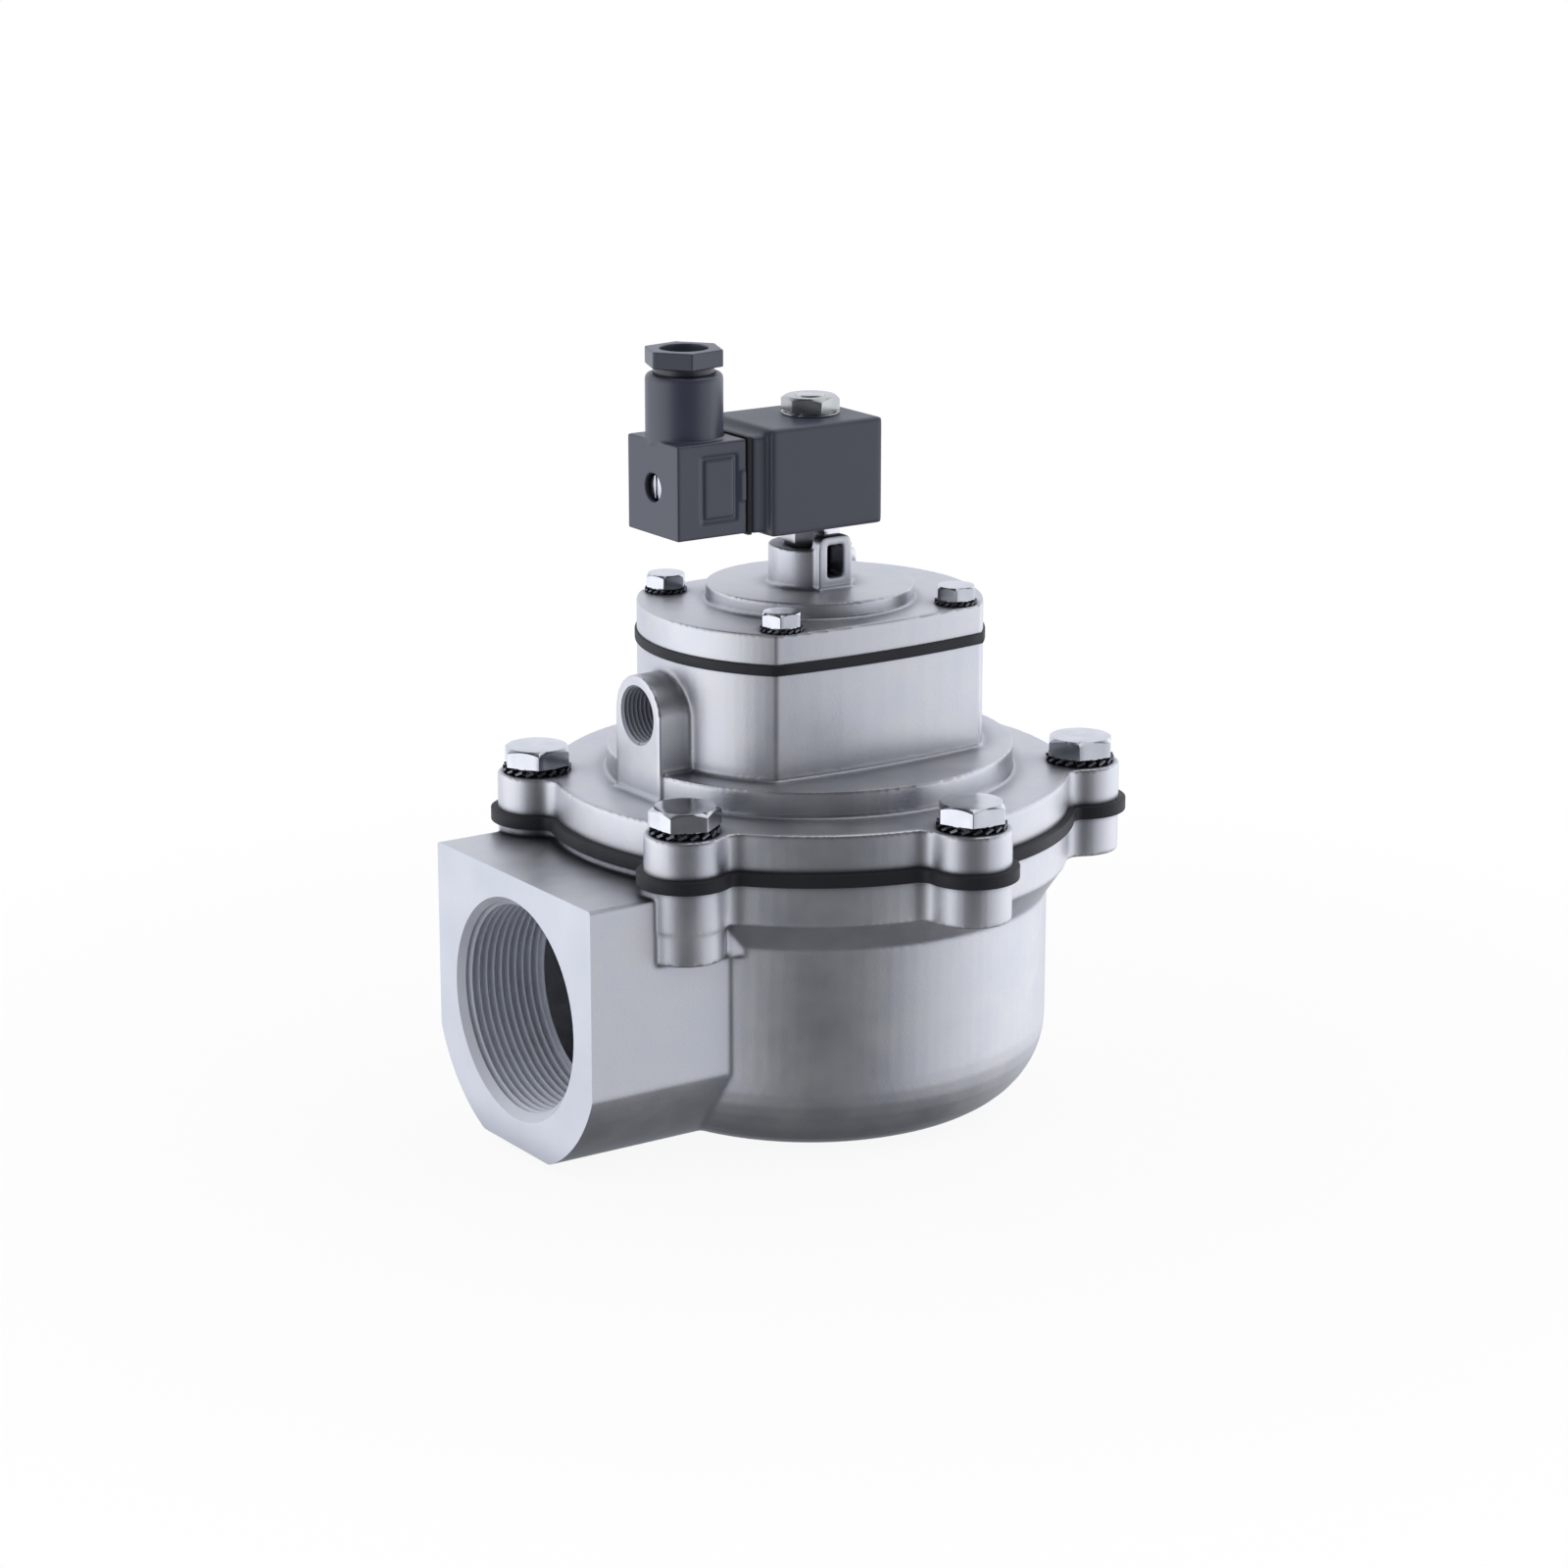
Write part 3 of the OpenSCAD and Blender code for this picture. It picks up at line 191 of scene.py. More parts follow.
def add_painted_crevice_shade(material, reach_mm, shade_hex, clear_at=0.92, on_flats=False):
    """Paints shade into the colour where other surfaces stand close, or only on the faces there that look up.
    """
    tree = material.node_tree
    shader = shader_of(material)
    unshaded = shader.inputs["Base Color"].links[0].from_socket
    near = add(tree, "ShaderNodeAmbientOcclusion", {"Distance": reach_mm * MM}, samples=8)
    share = ranged(tree, near.outputs["AO"], 0.3, clear_at)
    if on_flats:
        normal = add(tree, "ShaderNodeNewGeometry").outputs["Normal"]
        up = add(tree, "ShaderNodeSeparateXYZ", {0: normal}).outputs[2]
        share = calc(tree, "MAXIMUM", share, ranged(tree, up, 0.2, 0.6, 1.0, 0.0))
    mix = add(tree, "ShaderNodeMix", {0: share, 6: colour(shade_hex), 7: unshaded}, data_type="RGBA")
    tree.links.new(mix.outputs[2], shader.inputs["Base Color"])


# Painted shade: three layers of darkening where other surfaces stand close, the last only on faces that look
# up.
add_painted_crevice_shade(cast, 11, "#bcc0c8")
add_painted_crevice_shade(cast, 3, "#303238", 0.85)
add_painted_crevice_shade(cast, 8, "#6c7079", 0.84, on_flats=True)


WAVE_AT_SCALE_ONE = 0.31


def milled_aluminium(name, centre, pitch_mm):
    """Milled metal whose tool marks are rings round the X axis through a centre."""
    material = finish_of(name, "#dcdfe6", "#d2d5dd", (0.3, 0.38), 0.3, 0.004, metallic=1.0)
    tree = material.node_tree
    shader = shader_of(material)
    place = add(tree, "ShaderNodeTexCoord").outputs["Object"]
    around = add(tree, "ShaderNodeMapping", {"Vector": place, "Location": -Vector(centre)})
    scale = WAVE_AT_SCALE_ONE / (pitch_mm * MM)
    rings = add(tree, "ShaderNodeTexWave", {"Vector": around.outputs[0], "Scale": scale},
                wave_type="RINGS", rings_direction="X")
    old = shader.inputs["Normal"].links[0].from_socket
    bump = add(tree, "ShaderNodeBump", {"Height": rings.outputs[1], "Distance": 0.003 * MM, "Normal": old})
    tree.links.new(bump.outputs[0], shader.inputs["Normal"])
    return material


PORT_Z = 40.4 * MM
milled = milled_aluminium("milled_aluminium", (0, 0, PORT_Z), 0.5)
# Painted shade: the milled faces darken where other surfaces stand close.
add_painted_crevice_shade(milled, 14, "#8d9199")
cut_thread = finish_of("cut_aluminium_thread", "#eceff6", "#e2e5ed", (0.5, 0.6), 0.3, 0.004, 0.4)
# Painted shade: the exhaust thread is a darker grey than the other threads, for the shade inside its hole.
painted_shade_exhaust_thread = finish_of("exhaust_thread_with_painted_shade", "#c3c6ce", "#b3b6be", (0.55, 0.65), 0.5, 0.004, 0.2)
turned_metal = finish_of("lathe_turned_aluminium", "#c6c9cf", "#b9bcc3", (0.22, 0.3), 0.4, 0.003, 1.0)
print("aluminium:", cast.name, milled.name, turned_metal.name)

# %% [markdown]
# ## Steel, brass and copper
# The bolts are steel with a bright zinc plating, almost a mirror with a faint haze. The lock washers wear
# the same zinc but are stamped and hardened, which leaves them dark. The coil's nut and its washer are
# nickel-plated, which is a little warmer and duller. The tube under the coil is turned stainless steel, and
# the small inner fittings are brass.

# %% The other metals
zinc = finish_of("bright_zinc_plated_steel", "#dadce1", "#c8cbd1", (0.12, 0.2), 1.5, 0.002, 1.0, patch_mm=6)
nickel = finish_of("nickel_plated_steel", "#bfc2c1", "#a9acac", (0.16, 0.24), 1.2, 0.003, 1.0, patch_mm=4)
dark_zinc = finish_of("hardened_zinc_steel", "#7d8087", "#5f6269", (0.25, 0.4), 0.5, 0.01, 1.0, patch_mm=3)
stainless = finish_of("turned_stainless_steel", "#dcdde0", "#cccdd2", (0.25, 0.32), 0.5, 0.002, 1.0)
spring_wire = finish_of("drawn_spring_steel", "#9a9ca0", "#85878c", (0.25, 0.32), 0.4, 0.004, 1.0)
brass = finish_of("turned_brass", "#d9bc74", "#c8a85f", (0.2, 0.28), 0.5, 0.003, 1.0)
tin = finish_of("tinned_brass_sheet", "#cfcfca", "#bdbdb8", (0.25, 0.35), 0.6, 0.003, 1.0)
copper = finish_of("enamelled_copper_wire", "#c8744a", "#a85a34", (0.18, 0.26), 0.6, 0.002, 1.0)

# %% [markdown]
# ## Rubber and plastics
# The diaphragms are nitrile rubber, black and dull. The coil is cast in epoxy resin and the plug is moulded
# in glass-filled nylon. Both are a dark slate grey with the satin of a spark-eroded mould. They reflect a
# little more than plain plastic, which keeps their lit sides bright.

# %% Rubber and plastics
rubber = finish_of("moulded_nitrile_rubber", "#2a2b30", "#212227", (0.5, 0.65), 0.5, 0.03)
epoxy = finish_of("cast_epoxy_resin", "#4a4f5f", "#454957", (0.4, 0.46), 0.35, 0.01,
                  **{"Specular IOR Level": 0.8})
nylon = finish_of("glass_filled_nylon", "#474c5e", "#404455", (0.32, 0.38), 0.3, 0.008,
                  **{"Specular IOR Level": 0.8})
# Painted shade: the plastics turn near black where other surfaces stand close, as dark gaps between parts.
for plastic in (epoxy, nylon):
    add_painted_crevice_shade(plastic, 3, "#0e0f12", 0.85)
bobbin_nylon = finish_of("natural_nylon", "#e6e2d4", "#d8d3c3", (0.35, 0.45), 0.6, 0.005)
print("materials:", len(bpy.data.materials))

# %% [markdown]
# ## Working copies
# The CAD solids stay as they are. Where a piece needs more than a material, a copy is merged at its
# corners, worked on with modifiers, and turned back into a plain mesh. It then stands for the CAD node, on
# the same body.

# %% Copies, modifiers and sign-off
SAME_POINT = 0.001 * MM
FLAT_ANGLE = math.radians(0.5)
BODY_OF = {node: body for body, nodes in frame["record"]["behaviour"]["bodies"].items() for node in nodes}


def new_object(name, mesh):
    """An object at the origin that holds a mesh."""
    obj = bpy.data.objects.new(name, mesh)
    bpy.context.scene.collection.objects.link(obj)
    return obj


def modify(obj, kind, **settings):
    """Adds a modifier to an object."""
    modifier = obj.modifiers.new(kind.lower(), kind)
    for name, value in settings.items():
        setattr(modifier, name, value)
    return modifier


def settle(obj):
    """Turns an object's modifiers into its plain mesh."""
    graph = bpy.context.evaluated_depsgraph_get()
    mesh = bpy.data.meshes.new_from_object(obj.evaluated_get(graph))
    obj.modifiers.clear()
    obj.data = mesh
    return obj


def copy_of(node, name):
    """A merged copy of a CAD node, without its materials and stored normals."""
    mesh = NODES[node].data.copy()
    mesh.materials.clear()
    if "custom_normal" in mesh.attributes:
        mesh.attributes.remove(mesh.attributes["custom_normal"])
    shape = bmesh.new()
    shape.from_mesh(mesh)
    bmesh.ops.remove_doubles(shape, verts=shape.verts, dist=SAME_POINT)
    shape.to_mesh(mesh)
    shape.free()
    return new_object(name, mesh)


def shade(obj, sharp_degrees=35):
    """Smooth shading, with every edge that turns by more than an angle kept sharp."""
    obj.data.shade_smooth()
    obj.data.set_sharp_from_angle(angle=math.radians(sharp_degrees))


def stands_for(obj, *nodes, material=None):
    """Puts a finished piece on its nodes' body, in their place."""
    if material:
        obj.data.materials.clear()
        obj.data.materials.append(material)
    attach(obj, BODY_OF[nodes[0]])
    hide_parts(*nodes)
    obj.data.calc_loop_triangles()
    print(f"{obj.name}: {len(obj.data.loop_triangles)} triangles for {', '.join(nodes)}")
    return obj


# %% [markdown]
# ## Turned shapes
# A lathe makes a shape from its profile. The same goes for tools that cut round holes, so one function
# turns a list of radius and height points round the Z axis. A profile that starts and ends on the axis
# makes a solid, and one that is closed on itself makes a ring.


# %% Turned shapes
def turned(name, profile, steps=96, ring=False):
    """A shape of revolution round Z from (radius, height) points in metres, from the bottom up."""
    shape = bmesh.new()
    rows = []
    for r, z in profile:
        count = steps if r > 0 else 1
        turns = [2 * math.pi * k / steps for k in range(count)]
        rows.append([shape.verts.new((r * math.cos(a), r * math.sin(a), z)) for a in turns])
    for low, high in zip(rows, rows[1:] + (rows[:1] if ring else [])):
        for k in range(steps):
            n = (k + 1) % steps
            corners = [low[k % len(low)], low[n % len(low)], high[n % len(high)], high[k % len(high)]]
            shape.faces.new(list(dict.fromkeys(corners)))
    bmesh.ops.recalc_face_normals(shape, faces=shape.faces)
    mesh = bpy.data.meshes.new(name)
    shape.to_mesh(mesh)
    shape.free()
    return new_object(name, mesh)


# %% [markdown]
# ## One tree for everything that follows a helix
# A thread's groove, a spring and the wire of the coil are the same thing to a maker: a profile that is
# carried along a helix. Geometry Nodes say just that. The first and last turns of a spring lie flat, so the
# height that the path has climbed is clamped near both ends. Each tree in this file starts and ends in the
# same way, so two functions do that.

# %% Starting and ending a tree
def start_tree(name, **labels_by_kind):
    """An empty geometry tree, and the sockets of its named inputs. It also gets a material as input."""
    tree = bpy.data.node_groups.new(name, "GeometryNodeTree")
    tree.interface.new_socket("Geometry", in_out="OUTPUT", socket_type="NodeSocketGeometry")
    for kind, labels in {**labels_by_kind, "Material": ["Material"]}.items():
        for label in labels:
            tree.interface.new_socket(label, in_out="INPUT", socket_type="NodeSocket" + kind)
    return tree, add(tree, "NodeGroupInput").outputs


def end_tree(tree, geometry, material):
    """Makes the copies in a tree's geometry real, sets the material, and sends the result out."""
    real = add(tree, "GeometryNodeRealizeInstances", {"Geometry": geometry})
    painted = add(tree, "GeometryNodeSetMaterial", {"Geometry": real.outputs[0], "Material": material})
    add(tree, "NodeGroupOutput", {"Geometry": painted.outputs[0]})


# %% The helix tree
helix_tree, given = start_tree("helix", Int=["Corners", "Steps"], Float=[
    "Radius", "Height", "Turns", "Profile Width", "Profile Height", "Flat Turns"])
path = add(helix_tree, "GeometryNodeCurveSpiral", {
    "Resolution": given["Steps"], "Rotations": given["Turns"], "Start Radius": given["Radius"],
    "End Radius": given["Radius"], "Height": given["Height"]})
flat = calc(helix_tree, "DIVIDE", given["Flat Turns"], given["Turns"])
rest = calc(helix_tree, "SUBTRACT", 1.0, flat)
share = add(helix_tree, "GeometryNodeSplineParameter").outputs["Factor"]
rise = ranged(helix_tree, share, flat, rest, 0.0, given["Height"], clamp=True)
position = add(helix_tree, "GeometryNodeInputPosition").outputs[0]
here = add(helix_tree, "ShaderNodeSeparateXYZ", {0: position}).outputs
there = add(helix_tree, "ShaderNodeCombineXYZ", {0: here[0], 1: here[1], 2: rise}).outputs[0]
climbing = add(helix_tree, "GeometryNodeSetPosition", {"Geometry": path.outputs[0], "Position": there})
upright = add(helix_tree, "GeometryNodeSetCurveNormal", {"Curve": climbing.outputs[0]}, mode="Z_UP")
circle = add(helix_tree, "GeometryNodeCurvePrimitiveCircle", {"Resolution": given["Corners"], "Radius": 0.5})
scale = add(helix_tree, "ShaderNodeCombineXYZ", {
    0: given["Profile Width"], 1: given["Profile Height"], 2: 1.0})
profile = add(helix_tree, "GeometryNodeTransform", {"Geometry": circle.outputs[0], "Scale": scale.outputs[0]})
swept = add(helix_tree, "GeometryNodeCurveToMesh", {
    "Curve": upright.outputs[0], "Profile Curve": profile.outputs[0], "Fill Caps": True})
end_tree(helix_tree, swept.outputs[0], given["Material"])


def grow(name, tree, values):
    """Runs a tree with its named inputs and keeps the result as a plain mesh."""
    obj = new_object(name, bpy.data.meshes.new(name))
    modifier = modify(obj, "NODES", node_group=tree)
    keys = {item.name: item.identifier for item in tree.interface.items_tree if item.in_out == "INPUT"}
    for label, value in values.items():
        modifier[keys[label]] = value
    return settle(obj)


# %% [markdown]
# ## Casting
# A die-cast part has no sharp corner: metal would not flow into it and it would not leave the mould.
# Rebuilding the solid in small cubes and relaxing the result rounds every corner, inside and out, as the
# mould does. Holes that a machine cuts later are first filled, and faces that it mills are left a little
# proud, so that there is metal to cut.


# %% Casting and machining
MILLING_STOCK = 2 * MM
MILLING_CUTTER_R = 120 * MM
CLEAR_OF_MOUTH = 3 * MM
DEEPER_THAN_FILLING = 1.5 * MM


def casting(node, name, voxel_mm, rounds, triangles, material, plugs=(), milled_faces=()):
    """A rounded copy of a CAD solid, with its machined holes filled and stock on its milled faces."""
    obj = copy_of(node, name)
    shape = bmesh.new()
    shape.from_mesh(obj.data)
    for face in milled_faces:
        outward = face.to_3x3().col[2]
        level = face.translation.dot(outward) - 0.1 * MM
        for vertex in shape.verts:
            if vertex.co.dot(outward) > level:
                vertex.co += outward * MILLING_STOCK
    for plug in plugs:
        shape.from_mesh(plug.data)
        bpy.data.objects.remove(plug)
    shape.to_mesh(obj.data)
    shape.free()
    modify(obj, "REMESH", mode="VOXEL", voxel_size=voxel_mm * MM)
    modify(obj, "SMOOTH", factor=0.5, iterations=rounds)
    settle(obj)
    obj.data.calc_loop_triangles()
    modify(obj, "DECIMATE", ratio=min(1.0, triangles / len(obj.data.loop_triangles)))
    settle(obj)
    obj.data.materials.append(material)
    for face in milled_faces:
        machine(obj, bar(MILLING_CUTTER_R, 0, 4 * MILLING_STOCK, face), milled)
    return obj


def bar(r, z0, z1, place):
    """A round bar along the Z axis of a place."""
    obj = turned("bar", [(0, z0), (r, z0), (r, z1), (0, z1)])
    obj.data.transform(place)
    return obj


def machine(obj, tool, material, place=None):
    """Cuts a tool's shape out of a casting. The cut faces get the tool's material."""
    if place is not None:
        tool.data.transform(place)
    tool.data.materials.clear()
    tool.data.materials.append(material)
    modify(obj, "BOOLEAN", object=tool, operation="DIFFERENCE", solver="MANIFOLD", material_mode="TRANSFER")
    settle(obj)
    bpy.data.objects.remove(tool)


def tap(obj, place, minor_r, major_r, pitch, depth, chamfer, material):
    """Bores a hole with a chamfered mouth, a little deeper than its filling, and cuts a thread into it."""
    clear = CLEAR_OF_MOUTH
    wide = minor_r + chamfer + clear
    end = depth + DEEPER_THAN_FILLING
    bore = turned("bore", [(0, -clear), (wide, -clear), (minor_r, chamfer), (minor_r, end), (0, end)])
    machine(obj, bore, material, place)
    start = chamfer * 0.3
    groove = grow("groove", helix_tree, {
        "Radius": minor_r, "Height": depth - start, "Turns": (depth - start) / pitch,
        "Profile Width": 2 * (major_r - minor_r), "Profile Height": 0.9 * pitch, "Flat Turns": 0.0,
        "Corners": 4, "Steps": 96})
    machine(obj, groove, material, place @ Matrix.Translation((0, 0, start)))


def facing(axis, level):
    """The place of a flat face: its Z axis points out of the metal, along X or Z, to the side of the sign."""
    turns = {"-X": (-math.pi / 2, "Y"), "+X": (math.pi / 2, "Y"), "+Z": (0, "Z"), "-Z": (math.pi, "X")}
    shift = (level, 0, 0) if axis[1] == "X" else (0, 0, level)
    return Matrix.Translation(shift) @ Matrix.Rotation(turns[axis][0], 4, turns[axis][1])


# %% [markdown]
# ## The body
# The inlet and the outlet are G 2 threads: 11 turns to the inch, cut into a bore of the minor radius. The
# milled face of the port keeps its crisp edge, because it is cut after the casting is rounded.

# %% The body
PIPE_MINOR, PIPE_MAJOR, PIPE_PITCH = 28.33 * MM, 29.81 * MM, 25.4 / 11 * MM
PIPE_DEPTH, PIPE_CHAMFER = 24 * MM, 2.4 * MM
body_low, body_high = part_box("valve_body")
port_face = facing("-X", body_low.x) @ Matrix.Translation((PORT_Z, 0, 0))
into_port = Matrix.Translation((body_low.x, 0, PORT_Z)) @ Matrix.Rotation(math.pi / 2, 4, "Y")
into_outlet = Matrix.Identity(4)


def filling(r, depth, chamfer, place, proud=0.0):
    """Bars that fill a threaded hole and its mouth."""
    return [bar(r + 1 * MM, -proud, depth, place), bar(r + chamfer + 1 * MM, -proud, chamfer + 1 * MM, place)]


port_filling = filling(PIPE_MINOR, PIPE_DEPTH, PIPE_CHAMFER, into_port, MILLING_STOCK)
outlet_filling = filling(PIPE_MINOR, PIPE_DEPTH, PIPE_CHAMFER, into_outlet)
body = casting("valve_body", "valve_body_casting", voxel_mm=0.6, rounds=6, triangles=190000, material=cast,
               plugs=port_filling + outlet_filling, milled_faces=[port_face, facing("+Z", body_high.z)])
for place in (into_port, into_outlet):
    tap(body, place, PIPE_MINOR, PIPE_MAJOR, PIPE_PITCH, PIPE_DEPTH, PIPE_CHAMFER, cut_thread)
shade(body)
stands_for(body, "valve_body")

# %% [markdown]
# ## The covers
# The main cover carries the exhaust hole, a G 3/8 thread in its boss. The top cover is cast in a finer
# mould, so its corners are a little sharper and its cubes are smaller. The faces that clamp the diaphragms
# are milled too, which leaves a crisp edge along each rubber rim.

# %% The covers
EXHAUST_MINOR, EXHAUST_MAJOR, EXHAUST_PITCH = 7.475 * MM, 8.331 * MM, 25.4 / 19 * MM
EXHAUST_DEPTH, EXHAUST_CHAMFER, EXHAUST_Z, STEP_R = 12 * MM, 0.8 * MM, 116 * MM, 56 * MM
into_exhaust = Matrix.Translation((-STEP_R, 0, EXHAUST_Z)) @ Matrix.Rotation(math.pi / 2, 4, "Y")
cover_low, cover_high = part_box("main_cover")
cover = casting("main_cover", "main_cover_casting", voxel_mm=0.6, rounds=6, triangles=180000, material=cast,
                plugs=filling(EXHAUST_MINOR, EXHAUST_DEPTH, 0, into_exhaust),
                milled_faces=[facing("-Z", cover_low.z), facing("+Z", cover_high.z)])
tap(cover, into_exhaust, EXHAUST_MINOR, EXHAUST_MAJOR, EXHAUST_PITCH, EXHAUST_DEPTH, EXHAUST_CHAMFER,
    painted_shade_exhaust_thread)
shade(cover)
stands_for(cover, "main_cover")

top = casting("top_cover", "top_cover_casting", voxel_mm=0.45, rounds=6, triangles=130000, material=cast,
              milled_faces=[facing("-Z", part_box("top_cover")[0].z)])
shade(top)
stands_for(top, "top_cover")

# %% [markdown]
# ## Hexagon heads
# A hexagon head is a hexagonal bar whose top is turned to a cone, which leaves an arc on each flat. The
# arcs follow a rule: at each point of the outline, the cone fixes how high the flat reaches. A small washer
# face lifts the head off what it clamps.


# %% Hexagon heads
def polar(r, angle):
    """The point at a radius and an angle, as a complex number."""
    return r * complex(math.cos(angle), math.sin(angle))


def hexagon_outline(flats, corner_r, side_steps=6, arc_steps=3):
    """Points round a hexagon with slightly rounded corners, as complex numbers."""
    centre = flats / math.sqrt(3) - corner_r / math.cos(math.pi / 6)
    sixth = math.pi / 3
    points = []
    for k in range(6):
        turn = sixth * k
        arc = [turn + sixth * (i / arc_steps - 0.5) for i in range(arc_steps + 1)]
        points += [polar(centre, turn) + polar(corner_r, a) for a in arc]
        end = polar(centre, turn + sixth) + polar(corner_r, arc[-1])
        points += [points[-1] + (end - points[-1]) * i / side_steps for i in range(1, side_steps)]
    return points


def hexagon_head(name, flats, height, washer_face=0.35 * MM, hole_r=0.0, both_ends=False):
    """A hexagon head or nut that stands on z = 0, with a turned cone on top and a soft edge under it."""
    outline = hexagon_outline(flats, 0.35 * MM)
    crown = flats / 2 * 0.95
    soft = 0.18 * MM
    slope = math.tan(math.radians(30))

    def edge(z, side):
        return [(p, z + side * max(0.0, abs(p) - crown) * slope) for p in outline]

    def circle(r, z):
        return [(r * p / abs(p), z) for p in outline]

    top = height
    foot = edge(washer_face, 1) if both_ends else [(p, washer_face) for p in outline]
    inner = hole_r if hole_r else crown * 0.5
    rows = [circle(inner, 0), circle(crown, 0), circle(crown, washer_face), foot,
            [(p, z - soft) for p, z in edge(top, -1)],
            [(p * (1 - soft / abs(p)), z + soft * 0.2) for p, z in edge(top, -1)],
            circle(crown + soft, top - soft * 0.35), circle(crown - soft, top), circle(inner, top)]
    shape = bmesh.new()
    loops = [[shape.verts.new((p.real, p.imag, z)) for p, z in row] for row in rows]
    count = len(outline)
    for low, high in zip(loops, loops[1:] + ([loops[0]] if hole_r else [])):
        for k in range(count):
            shape.faces.new([low[k], low[(k + 1) % count], high[(k + 1) % count], high[k]])
    if not hole_r:
        shape.faces.new(loops[0])
        shape.faces.new(loops[-1])
    bmesh.ops.recalc_face_normals(shape, faces=shape.faces)
    mesh = bpy.data.meshes.new(name)
    shape.to_mesh(mesh)
    shape.free()
    return new_object(name, mesh)


def join(first, *others):
    """One object from several, with the meshes of all."""
    shape = bmesh.new()
    for obj in (first, *others):
        shape.from_mesh(obj.data)
    shape.to_mesh(first.data)
    shape.free()
    for obj in others:
        bpy.data.objects.remove(obj)
    return first


def bolt(name, flats, head_h, shank_r, length):
    """A hexagon bolt that hangs from z = 0, with a chamfered end."""
    cone = shank_r * 0.2
    shank = turned(name + "_shank", [(0, -length), (shank_r - cone, -length), (shank_r, -length + cone),
                                     (shank_r, 0.5 * MM), (0, 0.5 * MM)], steps=48)
    return join(hexagon_head(name, flats, head_h), shank)


# %% [markdown]
# ## A lock washer and its teeth
# An external-tooth lock washer is a flat ring with twisted teeth. The teeth bite into the bolt head above
# and into the cover below, so from the side they read as a dark serrated line. One tooth is made, one
# tree repeats it round the ring, and the same tree then repeats whole washers round the valve, each
# with a loose turn of its own.

# %% The ring tree
ring_tree, given = start_tree("ring_of_copies", Object=["Master"], Int=["Count", "Seed"],
                              Float=["Radius", "First Angle", "Height", "Face Outward", "Loose Turn"])
spots = add(ring_tree, "GeometryNodeMeshCircle", {"Vertices": given["Count"], "Radius": given["Radius"]})
index = add(ring_tree, "GeometryNodeInputIndex").outputs[0]
bearing = calc(ring_tree, "MULTIPLY", calc(ring_tree, "DIVIDE", index, given["Count"]), 2 * math.pi)
outward = calc(ring_tree, "MULTIPLY", bearing, given["Face Outward"])
loose = add(ring_tree, "FunctionNodeRandomValue", {
    "Max": given["Loose Turn"], "ID": index, "Seed": given["Seed"]})
turn = calc(ring_tree, "ADD", outward, loose.outputs["Value"])
euler = add(ring_tree, "ShaderNodeCombineXYZ", {2: turn}).outputs[0]
master = add(ring_tree, "GeometryNodeObjectInfo", {"Object": given["Master"], "As Instance": True})
copies = add(ring_tree, "GeometryNodeInstanceOnPoints", {
    "Points": spots.outputs[0], "Instance": master.outputs["Geometry"], "Rotation": euler})
shift = add(ring_tree, "ShaderNodeCombineXYZ", {2: given["Height"]}).outputs[0]
angle = add(ring_tree, "ShaderNodeCombineXYZ", {2: given["First Angle"]}).outputs[0]
placed = add(ring_tree, "GeometryNodeTransform", {
    "Geometry": copies.outputs[0], "Translation": shift, "Rotation": angle})
end_tree(ring_tree, placed.outputs[0], given["Material"])


def ring_of(name, master, radius, count, first_degrees, height, material, outward=0.0, loose_degrees=0.0,
            seed=0):
    """Repeats a master object round the Z axis and removes it."""
    obj = grow(name, ring_tree, {
        "Master": master, "Radius": radius, "Count": count, "Height": height,
        "First Angle": math.radians(first_degrees), "Face Outward": outward,
        "Loose Turn": math.radians(loose_degrees), "Seed": seed, "Material": material})
    bpy.data.objects.remove(master)
    return obj


def toothed_washer(name, inner_r, outer_r, thickness, teeth):
    """A ring of twisted teeth that stands on z = 0."""
    root_r = inner_r + (outer_r - inner_r) * 0.45
    sheet = thickness * 0.45
    tilt = math.radians(26)
    low, high = (thickness - sheet) / 2, (thickness + sheet) / 2
    band = turned(name, [(inner_r, low), (root_r, low), (root_r, high), (inner_r, high)], steps=48, ring=True)
    shape = bmesh.new()
    bmesh.ops.create_cube(shape, size=1)
    width = 2 * math.pi * outer_r / teeth * 0.74
    for vertex in shape.verts:
        outer = vertex.co.x > 0
        vertex.co.x = (outer_r if outer else root_r - 0.3 * MM) - (outer_r + root_r) / 2
        vertex.co.y *= width if outer else width * 0.75
        vertex.co.z *= sheet
        if outer:
            vertex.co.yz = (vertex.co.y * math.cos(tilt) - vertex.co.z * math.sin(tilt),
                            vertex.co.y * math.sin(tilt) + vertex.co.z * math.cos(tilt))
            vertex.co.z = max(-thickness / 2, min(thickness / 2, vertex.co.z))
    bmesh.ops.bevel(shape, geom=shape.edges[:], offset=0.08 * MM, segments=1, affect="EDGES")
    mesh = bpy.data.meshes.new("tooth")
    shape.to_mesh(mesh)
    shape.free()
    tooth = new_object("tooth", mesh)
    ring = ring_of("teeth", tooth, (outer_r + root_r) / 2, teeth, 0, thickness / 2, None, outward=1.0)
    return join(band, ring)


# %% [markdown]
# ## Bolts and washers
# Six M10 bolts close the main cover and four M6 bolts the top cover. A bolt stops where it is tight, so
# each head has its own turn. The turns are in degrees, anticlockwise round the valve from the first bolt,
# and follow the photograph where it shows them.

# %% Bolts and washers
BOLT_RING, SMALL_RING = 75.2 * MM, 40.3 * MM
MAIN_TURNS, SMALL_TURNS = (20, 41, 3, 35, 56, 51), (12, 52, 53, 55)


